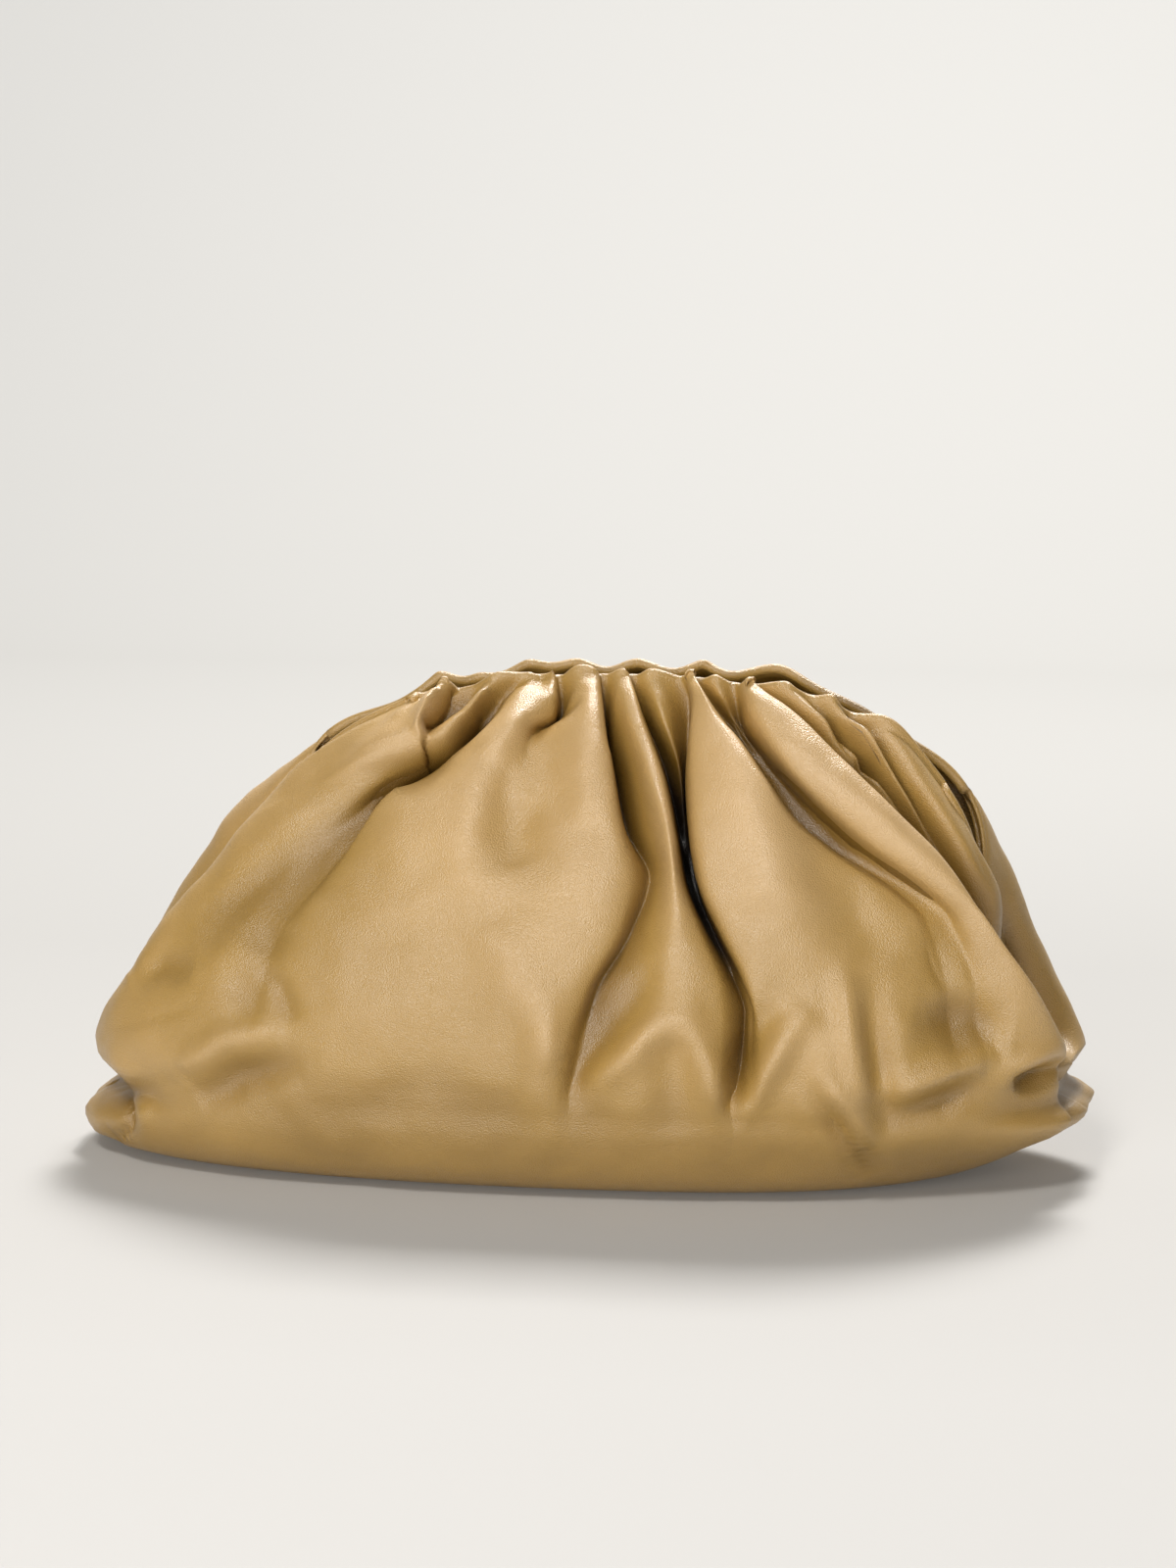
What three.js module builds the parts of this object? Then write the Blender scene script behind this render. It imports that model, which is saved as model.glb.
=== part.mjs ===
// A soft leather pouch bag, gathered onto an arched frame and standing on its own sole.
// Millimetres, +X to the wearer's right as seen from the front, -Y the front, +Z up.
import * as THREE from 'three';

const { lerp, clamp, smoothstep } = THREE.MathUtils;

// The pouch
const pouchWidth = 404; // over the two bottom corners
const pouchDepth = 172; // front belly to back belly
const bellyHeight = 48; // where the pouch is fullest
const leatherWall = 2; // hide and its backing
const foldDepth = 24; // a full fold, crest to envelope
const dentDepth = 9; // a full dent
const cornerTuck = 15; // how far the tuck over each bottom corner goes in

// The frame that closes the mouth
const frameWidth = 260; // hinge to hinge
const frameRise = 82; // hinges to the top of the arch
const hingeHeight = 104; // floor to hinges
const frameOffset = 14; // the mouth has slumped to one side
const barThickness = 3;
const barHeight = 9;
const hingeThickness = 8; // of the bend that joins the two bars

// The facing that covers the frame inside the mouth
const facingWall = 1.2;
const facingDrop = 15; // how far it hangs below the bar's centre line
const mouthGap = 5.4; // between the two facings
const facingEnds = 0.88; // share of the half arch where it stops, short of the hinges
const mouthGape = 10; // how much further the hide's rims hang apart at one shoulder
const gapeAt = 0.5; // where it gapes most, as a share of the half mouth
const gapeReach = 0.42;

// Fits
const clearance = 0.4;
const gatherHeight = 3.2; // the gathers stand this much over the facing

// Shape of the plan and of the arch: exponents of a superellipse
const planRoundness = 2.3;
const archRoundness = 2.4;
const bellyFullness = 1.52; // how long the walls stay full before they lean in
const rimClosesFrom = 0.93; // share of the half mouth where the two rims draw together

// Everything over the bar's centre line, in layers outwards from the mouth's middle plane
const barInside = mouthGap / 2 + facingWall + clearance;
const barOutside = barInside + barThickness;
const hideInside = barOutside + clearance;
const hideOutside = hideInside + leatherWall;
const facingTop = barHeight / 2 + clearance + facingWall;
const hideTop = facingTop + gatherHeight;

// Lower sections, sole to belly. height is a share of bellyHeight, left and right are how far
// each end reaches as shares of half the width, girth is a share of half the depth, and the
// tucks over the left and the right corner are shares of cornerTuck.
const lowerSections = [
  { height: 0.0, left: 0.7, right: 0.62, girth: 0.58, leftTuck: 0.0, rightTuck: 0.0 },
  { height: 0.05, left: 0.94, right: 0.72, girth: 0.74, leftTuck: 0.0, rightTuck: 0.0 },
  { height: 0.18, left: 1.025, right: 0.82, girth: 0.86, leftTuck: 0.0, rightTuck: 0.0 },
  { height: 0.34, left: 1.04, right: 0.9, girth: 0.92, leftTuck: 0.05, rightTuck: 0.0 },
  { height: 0.5, left: 1.03, right: 0.975, girth: 0.96, leftTuck: 0.5, rightTuck: 0.0 },
  { height: 0.62, left: 1.01, right: 1.0, girth: 0.98, leftTuck: 1.0, rightTuck: 0.1 },
  { height: 0.75, left: 1.005, right: 0.995, girth: 0.99, leftTuck: 0.5, rightTuck: 0.8 },
  { height: 0.87, left: 1.005, right: 0.975, girth: 1.0, leftTuck: 0.05, rightTuck: 0.3 },
  { height: 1.0, left: 1.005, right: 0.975, girth: 1.0, leftTuck: 0.0, rightTuck: 0.0 },
];
const tuckFrom = 0.74; // share of the half width where a corner's tuck begins
const upperSections = 17; // between the belly and the gathered rim
const soleRings = [0.45, 0.8]; // shares of the sole's outline
const widestSpan = 0.11; // share of the half width; wider spans between folds are divided
const roundedSpan = 0.04; // and spans down to this one get a column in the middle
const miterLimit = 1.7; // how much thicker than the wall a sharp fold may get
const facingSteps = 28;
const frameSteps = 28;
const hingeSteps = 5;

// The folds run from the rim to the belly, from one side cleft round to the other. Each row
// gives a crest's or a valley's place at four levels, as a share of the half width there,
// how far it stands out there, and how far it stands up over the rim, as shares of foldDepth.
const foldLevels = [1.0, 0.72, 0.45, 0.0]; // rim, shoulder, waist and belly
const foldColumns = ['name', 'rim', 'shoulder', 'waist', 'belly',
  'rimOut', 'shoulderOut', 'waistOut', 'bellyOut', 'rimLift'];
const frontFolds = [
  ['left cleft', -1.0, -1.0, -1.0, -1.0, 0.0, -0.22, -0.7, -0.2, 0.0],
  ['left flank', -0.965, -0.975, -0.985, -0.985, 0.16, 0.2, 0.05, 0.05, 0.15],
  ['left lobe', -0.86, -0.87, -0.93, -0.93, 0.06, 0.35, 0.3, 0.15, 0.3],
  ['left shoulder', -0.62, -0.74, -0.86, -0.86, 0.42, 0.5, 0.26, 0.1, 0.2],
  ['left curl', -0.48, -0.62, -0.81, -0.82, 0.25, 0.1, 0.0, 0.02, 0.16],
  ['hook crease', -0.43, -0.57, -0.76, -0.79, 0.0, -0.72, -0.3, -0.03, 0.05],
  ['tucked fold', -0.31, -0.53, -0.69, -0.76, 0.2, -0.66, -0.14, 0.0, 0.12],
  ['under the big lobe', -0.265, -0.5, -0.64, -0.73, 0.0, -0.8, -0.2, 0.0, 0.0],
  ['big lobe edge', -0.235, -0.46, -0.59, -0.69, 0.15, 0.3, 0.16, 0.05, 0.04],
  ['big lobe', -0.2, -0.32, -0.38, -0.44, 0.22, 0.36, 0.26, 0.1, 0.07],
  ['notch', -0.165, -0.18, -0.17, -0.2, 0.0, 0.1, 0.13, 0.1, 0.0],
  ['centre lobe', -0.085, -0.04, -0.01, -0.06, 0.26, 0.42, 0.3, 0.1, 0.08],
  ['first groove', -0.045, 0.06, 0.15, 0.03, 0.0, -0.62, -0.42, -0.22, 0.0],
  ['narrow lobe', 0.0, 0.13, 0.2, 0.15, 0.22, 0.24, 0.36, 0.0, 0.07],
  ['deep groove', 0.045, 0.185, 0.245, 0.33, 0.0, -0.78, -0.88, -0.32, 0.0],
  ['sunk pleat', 0.1, 0.215, 0.265, 0.36, 0.19, -0.5, -0.55, -0.2, 0.06],
  ['pleat foot', 0.165, 0.235, 0.285, 0.39, 0.0, -0.3, -0.1, -0.05, 0.0],
  ['right lobe', 0.205, 0.26, 0.31, 0.43, 0.21, 0.22, 0.28, 0.08, 0.06],
  ['right lobe crest', 0.25, 0.38, 0.46, 0.55, 0.22, 0.36, 0.34, 0.12, 0.07],
  ['right crease', 0.33, 0.435, 0.6, 0.68, 0.0, -0.45, 0.02, 0.02, 0.0],
  ['long lobe', 0.38, 0.54, 0.74, 0.8, 0.22, 0.24, 0.24, 0.06, 0.07],
  ['long lobe edge', 0.42, 0.67, 0.86, 0.94, 0.21, 0.34, 0.22, 0.08, 0.06],
  ['under the long lobe', 0.5, 0.72, 0.9, 0.965, 0.0, -0.42, -0.28, 0.04, 0.0],
  ['first arm pleat', 0.58, 0.79, 0.92, 0.98, 0.21, 0.06, -0.3, 0.0, 0.04],
  ['arm crease', 0.67, 0.85, 0.95, 0.986, 0.0, -0.1, -0.48, -0.08, 0.0],
  ['second arm pleat', 0.8, 0.92, 0.973, 0.991, 0.19, 0.1, -0.5, -0.12, 0.0],
  ['right flank', 0.94, 0.97, 0.988, 0.996, 0.1, 0.12, -0.62, -0.16, 0.0],
];
const backFolds = [
  ['right cleft', 1.0, 1.0, 1.0, 1.0, 0.0, -0.25, -0.85, -0.2, 0.0],
  ['right back flank', 0.965, 0.97, 0.985, 0.985, 0.15, 0.1, 0.02, 0.05, 0.08],
  ['right back lobe', 0.86, 0.88, 0.94, 0.94, 0.06, 0.34, 0.2, 0.08, 0.18],
  ['eye groove', 0.74, 0.8, 0.87, 0.87, 0.0, -0.2, 0.1, 0.06, 0.16],
  ['right back shoulder', 0.64, 0.7, 0.79, 0.78, 0.22, 0.34, 0.26, 0.08, 0.3],
  ['arch groove', 0.53, 0.58, 0.66, 0.68, 0.0, -0.36, -0.1, 0.0, 0.18],
  ['arch lobe', 0.4, 0.47, 0.52, 0.56, 0.26, 0.36, 0.3, 0.1, 0.24],
  ['back groove one', 0.29, 0.34, 0.4, 0.42, 0.0, -0.56, -0.36, -0.08, 0.04],
  ['back lobe one', 0.21, 0.25, 0.28, 0.3, 0.21, 0.3, 0.3, 0.08, 0.06],
  ['back groove two', 0.13, 0.16, 0.16, 0.13, 0.0, -0.5, -0.3, -0.16, 0.0],
  ['back lobe two', 0.04, 0.03, 0.02, 0.0, 0.22, 0.38, 0.34, 0.1, 0.07],
  ['back groove three', -0.05, -0.09, -0.12, -0.17, 0.0, -0.8, -0.8, -0.26, 0.0],
  ['back lobe three', -0.13, -0.19, -0.25, -0.3, 0.21, 0.34, 0.36, 0.12, 0.06],
  ['back groove four', -0.22, -0.32, -0.4, -0.44, 0.0, -0.52, -0.22, 0.0, 0.0],
  ['back lobe four', -0.31, -0.43, -0.52, -0.56, 0.24, 0.34, 0.3, 0.1, 0.08],
  ['back groove five', -0.42, -0.56, -0.67, -0.72, 0.0, -0.5, -0.26, -0.04, 0.06],
  ['left back shoulder', -0.54, -0.68, -0.79, -0.82, 0.4, 0.62, 0.3, 0.1, 0.2],
  ['back groove six', -0.66, -0.78, -0.87, -0.88, 0.0, -0.24, 0.04, 0.04, 0.1],
  ['left back lobe', -0.82, -0.88, -0.94, -0.94, 0.3, 0.6, 0.36, 0.14, 0.26],
  ['left back flank', -0.965, -0.975, -0.985, -0.985, 0.2, 0.3, 0.1, 0.05, 0.12],
];

// Dents that don't reach the rim. across and up are shares of half the width and of the
// height of the arch's top; long and wide are shares of the pouch's width.
const frontDents = [
  { name: 'left hollow', across: -0.66, up: 0.5, long: 0.15, wide: 0.045, turn: 52, depth: 0.55 },
  { name: 'corner ridge', across: -0.72, up: 0.3, long: 0.14, wide: 0.035, turn: 28, depth: -0.4 },
  { name: 'groove end', across: 0.0, up: 0.36, long: 0.1, wide: 0.034, turn: 76, depth: 0.6 },
  { name: 'middle hollow', across: 0.24, up: 0.24, long: 0.12, wide: 0.028, turn: 88, depth: 0.5 },
  { name: 'lower groove', across: 0.66, up: 0.27, long: 0.12, wide: 0.03, turn: 96, depth: 0.75 },
  { name: 'corner band', across: 0.83, up: 0.3, long: 0.14, wide: 0.034, turn: 20, depth: -0.5 },
  { name: 'hem crease', across: 0.56, up: 0.12, long: 0.12, wide: 0.024, turn: -52, depth: 0.6 },
];
const backDents = [
  { name: 'back hollow', across: 0.5, up: 0.34, long: 0.14, wide: 0.04, turn: 60, depth: 0.6 },
  { name: 'back ridge', across: -0.55, up: 0.26, long: 0.16, wide: 0.036, turn: -24, depth: -0.45 },
  { name: 'back crease', across: -0.16, up: 0.2, long: 0.12, wide: 0.03, turn: 84, depth: 0.55 },
];

const ring = [
  ...readFolds(frontFolds, frontDents, -1),
  ...readFolds(backFolds, backDents, 1),
];

function readFolds(rows, dents, sign) {
  return rows.map((row) => ({
    ...Object.fromEntries(foldColumns.map((key, i) => [key, row[i]])),
    dents,
    sign,
  }));
}

// The other coordinate of a superellipse whose first one is share
function roundOff(share, roundness) {
  return Math.pow(Math.max(0, 1 - Math.pow(Math.abs(share), roundness)), 1 / roundness);
}

// A value given at the four fold levels, read at any level between them
function atLevel(values, level) {
  let i = 1;
  while (i < foldLevels.length - 1 && level < foldLevels[i]) i += 1;
  const t = (level - foldLevels[i]) / (foldLevels[i - 1] - foldLevels[i]);
  return lerp(values[i], values[i - 1], t * t * (3 - 2 * t));
}

// Extra half width of the mouth where it hangs open
function gape(share) {
  const away = Math.min(1, Math.abs(share - gapeAt) / gapeReach);
  return mouthGape / 2 * Math.pow(Math.cos(away * Math.PI / 2), 2);
}

// A point of the arch at a share of its half width, a distance outside the bar's centre line
function archPoint(share, outside) {
  return {
    x: frameOffset + (frameWidth / 2 + outside) * share,
    z: hingeHeight + (frameRise + outside) * roundOff(share, archRoundness),
  };
}

// How far the hide's rim lies from the mouth's middle plane. It closes round the arch's ends.
function rimDistance(share) {
  const closing = smoothstep(Math.abs(share), rimClosesFrom, 1);
  return (hideOutside + gape(share)) * Math.sqrt(1 - closing * closing);
}

// How far a lower section reaches towards the end that a share is nearer to
function endReach(section, share) {
  return pouchWidth / 2 * lerp(section.left, section.right, smoothstep(share, -1, 1));
}

// The pouch without its folds: level runs from 0 at the belly to 1 at the rim
function envelope(sign, share, level, lift = 0) {
  const rim = archPoint(share, hideTop + lift);
  const bellyX = endReach(lowerSections.at(-1), share) * share;
  const bellyY = pouchDepth / 2 * roundOff(share, planRoundness);
  const lean = 1 - Math.pow(level, bellyFullness);
  return new THREE.Vector3(
    lerp(rim.x, bellyX, lean),
    sign * lerp(rimDistance(share), bellyY, lean),
    lerp(bellyHeight, rim.z, level),
  );
}

// Outward direction of the envelope
function outward(sign, share, level) {
  const step = 0.01;
  const up = envelope(sign, share, Math.min(1, level + step))
    .sub(envelope(sign, share, Math.max(0, level - step)));
  const nearly = clamp(share, step - 1, 1 - step);
  const along = envelope(sign, nearly + step, level).sub(envelope(sign, nearly - step, level));
  return along.cross(up).multiplyScalar(-sign).normalize();
}

// How far the dents take a point of the envelope out
function dentOut(dents, point) {
  let out = 0;
  for (const dent of dents) {
    const turn = THREE.MathUtils.degToRad(dent.turn);
    const dx = point.x - dent.across * pouchWidth / 2;
    const dz = point.z - dent.up * (hingeHeight + frameRise);
    const along = (dx * Math.cos(turn) + dz * Math.sin(turn)) / (dent.long * pouchWidth / 2);
    const over = (dz * Math.cos(turn) - dx * Math.sin(turn)) / (dent.wide * pouchWidth);
    out -= dent.depth * dentDepth * Math.exp(-along * along - over * over);
  }
  return out;
}

// The columns of the hide's mesh: one on each fold, and more in its wider spans
function divideSpans() {
  return ring.flatMap((fold, i) => {
    const next = ring[(i + 1) % ring.length];
    const span = Math.abs(next.waist - fold.waist);
    const parts = Math.max(span > roundedSpan ? 2 : 1, Math.ceil(span / widestSpan));
    return range(parts).map((part) => ({ fold, next, t: part / parts }));
  });
}

// A column's place across the pouch and how far it stands out, at one level
function readColumn({ fold, next, t }, level) {
  const place = (row) => atLevel([row.rim, row.shoulder, row.waist, row.belly], level);
  const out = (row) => atLevel([row.rimOut, row.shoulderOut, row.waistOut, row.bellyOut], level);
  return {
    share: lerp(place(fold), place(next), t),
    out: lerp(out(fold), out(next), t * t * (3 - 2 * t)) * foldDepth,
    lift: lerp(fold.rimLift, next.rimLift, t * t * (3 - 2 * t)) * foldDepth * level * level,
  };
}

// A point of the hide between belly and rim
function upperPoint(column, level) {
  const { sign, dents } = column.fold;
  const { share, out, lift } = readColumn(column, level);
  const point = envelope(sign, share, level, lift);
  const dented = dentOut(dents, point) * (1 - smoothstep(level, 0.6, 0.9));
  return point.addScaledVector(outward(sign, share, level), out + dented);
}

// A point of the hide between sole and belly
function lowerPoint(column, section) {
  const { sign, dents } = column.fold;
  const { share, out } = readColumn(column, 0);
  const point = new THREE.Vector3(
    endReach(section, share) * share,
    sign * pouchDepth / 2 * section.girth * roundOff(share, planRoundness),
    bellyHeight * section.height,
  );
  const level = outward(sign, share, 0).setZ(0).normalize();
  const tuck = share < 0 ? section.leftTuck : section.rightTuck;
  const tucked = cornerTuck * tuck * smoothstep(Math.abs(share), tuckFrom, 1);
  return point.addScaledVector(level, (out + dentOut(dents, point)) * section.height - tucked);
}

// The hide's outer face as rows of points, from the sole's first ring up to the rim
function outerRows(columns) {
  const lower = lowerSections.map((section) => columns.map((column) => lowerPoint(column, section)));
  const sole = soleRings.map((share) => lower[0].map((point) => point.clone().multiplyScalar(share)));
  const upper = range(upperSections).map((i) => {
    const level = (i + 1) / upperSections;
    return columns.map((column) => upperPoint(column, level));
  });
  return [...sole, ...lower, ...upper];
}

// The inner face lies one wall inside the outer one, measured square to the facets
function innerRows(rows) {
  const count = rows[0].length;
  return rows.map((row, i) => row.map((point, j) => {
    if (i <= soleRings.length) return point.clone().setZ(leatherWall);
    const left = row.at(j - 1);
    const right = row[(j + 1) % count];
    const below = rows[i - 1][j];
    const above = i + 1 < rows.length ? rows[i + 1][j] : null;
    const facets = [[left, below], [below, right]];
    if (above) facets.push([right, above], [above, left]);
    const normals = facets.map(([a, b]) => a.clone().sub(point).cross(b.clone().sub(point)).normalize());
    const mean = normals.reduce((sum, one) => sum.add(one), new THREE.Vector3()).normalize();
    const miter = normals.reduce((sum, one) => sum + one.dot(mean), 0) / normals.length;
    return point.clone().addScaledVector(mean, -leatherWall * Math.min(miterLimit, 1 / miter));
  }));
}

// A closed vessel: outer face from its bottom pole up, over the rim, and down the inner face
function vesselGeometry(outer, inner) {
  const count = outer[0].length;
  const rows = [...outer, ...inner.toReversed()];
  const positions = rows.flat().flatMap((point) => point.toArray());
  const bottom = rows.length * count;
  positions.push(0, 0, 0, 0, 0, leatherWall);
  const index = [];
  range(count).forEach((j) => {
    const next = (j + 1) % count;
    index.push(bottom, next, j);
    index.push(bottom + 1, bottom - count + j, bottom - count + next);
    range(rows.length - 1).forEach((i) => {
      const low = i * count;
      const high = low + count;
      index.push(low + j, low + next, high + next, low + j, high + next, high + j);
    });
  });
  return indexed(positions, index);
}

// A closed ring of sections, each a ring of as many points
function ringGeometry(sections) {
  const count = sections[0].length;
  const index = sections.flatMap((_, i) => range(count).flatMap((j) => {
    const low = i * count;
    const high = (i + 1) % sections.length * count;
    return quad(low + j, low + (j + 1) % count, high + (j + 1) % count, high + j);
  }));
  return indexed(sections.flat().flatMap((point) => point.toArray()), index);
}

// The facing: a hooked section [distance from the mouth's middle plane, distance outside the
// bar's centre line] swept along the arch, and closed at both ends
function facingGeometry(sign) {
  const section = [
    [mouthGap / 2, -facingDrop],
    [mouthGap / 2 + facingWall, -facingDrop],
    [mouthGap / 2 + facingWall, facingTop - facingWall],
    [barOutside, facingTop - facingWall],
    [barOutside, facingTop],
    [mouthGap / 2, facingTop],
  ];
  const count = section.length;
  const shares = archShares(facingSteps).map((share) => share * facingEnds);
  const points = shares.map((share) => section.map(([depth, outside]) => {
    const { x, z } = archPoint(share, outside);
    return new THREE.Vector3(x, sign * depth, z);
  }));
  const index = range(shares.length - 1).flatMap((i) => range(count).flatMap((j) => {
    const next = (j + 1) % count;
    return quad(i * count + j, i * count + next, (i + 1) * count + next, (i + 1) * count + j);
  }));
  const last = (shares.length - 1) * count;
  const outline = section.map(([depth, outside]) => new THREE.Vector2(depth, outside));
  THREE.ShapeUtils.triangulateShape(outline, []).forEach(([a, b, c]) => {
    index.push(a, c, b, last + a, last + b, last + c);
  });
  if (sign < 0) index.reverse();
  return indexed(points.flat().flatMap((point) => point.toArray()), index);
}

// The frame: both bars and the two bends of the hinges, one ring with a square-edged section
function frameGeometry() {
  const depth = (barInside + barOutside) / 2;
  const bar = (sign) => archShares(frameSteps).map((share) => ({
    centre: archVector(share * sign, sign * depth),
    radial: archNormal(share * sign),
    across: new THREE.Vector3(0, sign, 0),
    thickness: barThickness,
  }));
  const hinge = (side) => range(hingeSteps).map((i) => {
    const angle = (i + 1) / (hingeSteps + 1) * Math.PI;
    const across = new THREE.Vector3(0, -side * Math.cos(angle), -Math.sin(angle));
    return {
      centre: archVector(side, 0).addScaledVector(across, depth),
      radial: new THREE.Vector3(side, 0, 0),
      across,
      thickness: lerp(barThickness, hingeThickness, Math.sin(angle)),
    };
  });
  const stations = [...bar(-1).toReversed(), ...hinge(1), ...bar(1).toReversed(), ...hinge(-1)];
  return ringGeometry(stations.map(({ centre, radial, across, thickness }) => (
    [[-1, -1], [1, -1], [1, 1], [-1, 1]].map(([up, out]) => centre.clone()
      .addScaledVector(radial, up * barHeight / 2)
      .addScaledVector(across, out * thickness / 2))
  )));
}

// Shares of the half arch, closer together where the arch bends
function archShares(steps) {
  return range(steps + 1).map((i) => Math.sin((i / steps - 0.5) * Math.PI));
}

function archVector(share, y) {
  const { x, z } = archPoint(share, 0);
  return new THREE.Vector3(x, y, z);
}

function archNormal(share) {
  const inside = archPoint(share, -barHeight / 2);
  const outside = archPoint(share, barHeight / 2);
  return new THREE.Vector3(outside.x - inside.x, 0, outside.z - inside.z).normalize();
}

function quad(a, b, c, d) {
  return [a, b, c, a, c, d];
}

function indexed(positions, index) {
  const geometry = new THREE.BufferGeometry();
  geometry.setAttribute('position', new THREE.Float32BufferAttribute(positions, 3));
  geometry.setIndex(index);
  geometry.computeVertexNormals();
  return geometry;
}

function range(count) {
  return Array.from({ length: count }, (_, i) => i);
}

function piece(name, geometry, color, roughness, metalness) {
  const mesh = new THREE.Mesh(geometry, new THREE.MeshStandardMaterial({ color, roughness, metalness }));
  mesh.name = name;
  return mesh;
}

const outerFace = outerRows(divideSpans());
const parts = new THREE.Group();
parts.add(piece('pouch_body', vesselGeometry(outerFace, innerRows(outerFace)), 0xc3a069, 0.45, 0));
parts.add(piece('front_facing', facingGeometry(-1), 0xb7ab7c, 0.6, 0));
parts.add(piece('back_facing', facingGeometry(1), 0xb7ab7c, 0.6, 0));
parts.add(piece('closing_frame', frameGeometry(), 0x9c9a94, 0.35, 1));

// The origin is under the middle of the whole pouch, on the floor
const box = new THREE.Box3().setFromObject(parts);
const middle = box.getCenter(new THREE.Vector3()).setZ(box.min.z);
parts.children.forEach((mesh) => mesh.geometry.translate(-middle.x, -middle.y, -middle.z));

export default parts;
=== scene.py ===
import math

import bpy
import numpy as np
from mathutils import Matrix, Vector, noise


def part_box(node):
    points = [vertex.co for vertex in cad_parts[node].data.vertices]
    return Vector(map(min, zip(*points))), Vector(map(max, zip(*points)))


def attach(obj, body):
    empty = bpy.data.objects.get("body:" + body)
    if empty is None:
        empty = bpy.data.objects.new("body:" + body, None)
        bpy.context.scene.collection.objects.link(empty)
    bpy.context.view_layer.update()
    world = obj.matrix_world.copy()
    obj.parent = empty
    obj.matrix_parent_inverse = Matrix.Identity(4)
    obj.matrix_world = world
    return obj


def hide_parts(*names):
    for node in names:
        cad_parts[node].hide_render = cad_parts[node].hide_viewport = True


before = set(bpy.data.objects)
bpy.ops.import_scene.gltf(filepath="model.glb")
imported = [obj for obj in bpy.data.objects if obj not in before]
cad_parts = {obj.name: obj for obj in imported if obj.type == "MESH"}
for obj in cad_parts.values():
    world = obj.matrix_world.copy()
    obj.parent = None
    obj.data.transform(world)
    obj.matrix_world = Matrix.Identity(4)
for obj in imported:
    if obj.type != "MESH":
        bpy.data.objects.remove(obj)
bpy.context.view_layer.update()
print("stage: frame loaded")

mm = 0.001

# The camera, at the photo's turn and height. Places in the photo are its pixels.
shot = {
    "wide": 1200,
    "tall": 1600,
    "turn": 8.0,  # degrees to the bag's right
    "rise": 11.0,
    "distance": 1.6,
    "lens": 92.0,
    "sensor": 36.0,
    "lookAt": (0.0022, 0.0, 0.100),
    "lookAtPixel": (600, 930),  # where that point lies in the photo
}


def addCamera():
    turn, rise = math.radians(shot["turn"]), math.radians(shot["rise"])
    away = Vector((math.sin(turn) * math.cos(rise), -math.cos(turn) * math.cos(rise), math.sin(rise)))
    data = bpy.data.cameras.new("camera")
    data.sensor_width = shot["sensor"]
    data.lens = shot["lens"]
    data.shift_y = (shot["lookAtPixel"][1] - shot["tall"] / 2) / shot["tall"]
    data.shift_x = (shot["wide"] / 2 - shot["lookAtPixel"][0]) / shot["tall"]
    camera = bpy.data.objects.new("camera", data)
    camera.location = Vector(shot["lookAt"]) + away * shot["distance"]
    camera.rotation_euler = (-away).to_track_quat("-Z", "Y").to_euler()
    bpy.context.scene.collection.objects.link(camera)
    bpy.context.scene.camera = camera
    bpy.context.view_layer.update()
    return camera


camera = addCamera()
cameraPlace = np.array(camera.location)
cameraTurn = np.array(camera.matrix_world.to_3x3())
pixelsPerUnit = shot["lens"] / shot["sensor"] * shot["tall"]


# Where points given in mm show in the photo
def inPhoto(points):
    seen = (points * mm - cameraPlace) @ cameraTurn
    x = shot["lookAtPixel"][0] + pixelsPerUnit * seen[..., 0] / -seen[..., 2]
    y = shot["lookAtPixel"][1] - pixelsPerUnit * seen[..., 1] / -seen[..., 2]
    return x, y


# The pouch without its folds, in mm, with the sizes of the CAD body
pouch = {
    "width": 404, "depth": 172, "bellyHeight": 48, "wall": 2.0,
    "frameWidth": 260, "frameRise": 82, "hingeHeight": 104, "frameOffset": 14,
    "hideTop": 9.3, "hideOutside": 9.7, "facingTop": 6.1, "roll": 1.9,
    "lowBehind": 5,  # how much farther in the inner skin lies low down
    "gape": 11, "gapeAt": 0.47, "gapeReach": 0.3, "rimClosesFrom": 0.93,
    "planRoundness": 2.3, "archRoundness": 2.4, "fullness": 1.52,
}
# Lower sections: height as a share of the belly's, reach of the left and the right end,
# girth, tuck over the left and the right corner
lowerSections = [
    (0.0, 0.7, 0.62, 0.58, 0.0, 0.0),
    (0.05, 0.94, 0.72, 0.74, 0.0, 0.0),
    (0.18, 1.025, 0.82, 0.86, 0.0, 0.0),
    (0.34, 1.04, 0.9, 0.92, 0.05, 0.0),
    (0.5, 1.03, 0.975, 0.96, 0.5, 0.0),
    (0.62, 1.01, 1.0, 0.98, 1.0, 0.1),
    (0.75, 1.005, 0.995, 0.99, 0.5, 0.8),
    (0.87, 1.005, 0.975, 1.0, 0.05, 0.3),
    (1.0, 1.005, 0.975, 1.0, 0.0, 0.0),
]
cornerTuck = {"depth": 15, "from": 0.74}

frameLow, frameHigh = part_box("closing_frame")
shift = np.array([(frameLow.x + frameHigh.x) / 2 / mm - pouch["frameOffset"],
                  (frameLow.y + frameHigh.y) / 2 / mm, 0])


def smooth(low, high, value):
    t = np.clip((value - low) / (high - low), 0, 1)
    return t * t * (3 - 2 * t)


def unit(vectors):
    return vectors / np.maximum(np.linalg.norm(vectors, axis=-1, keepdims=True), 1e-9)


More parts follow.
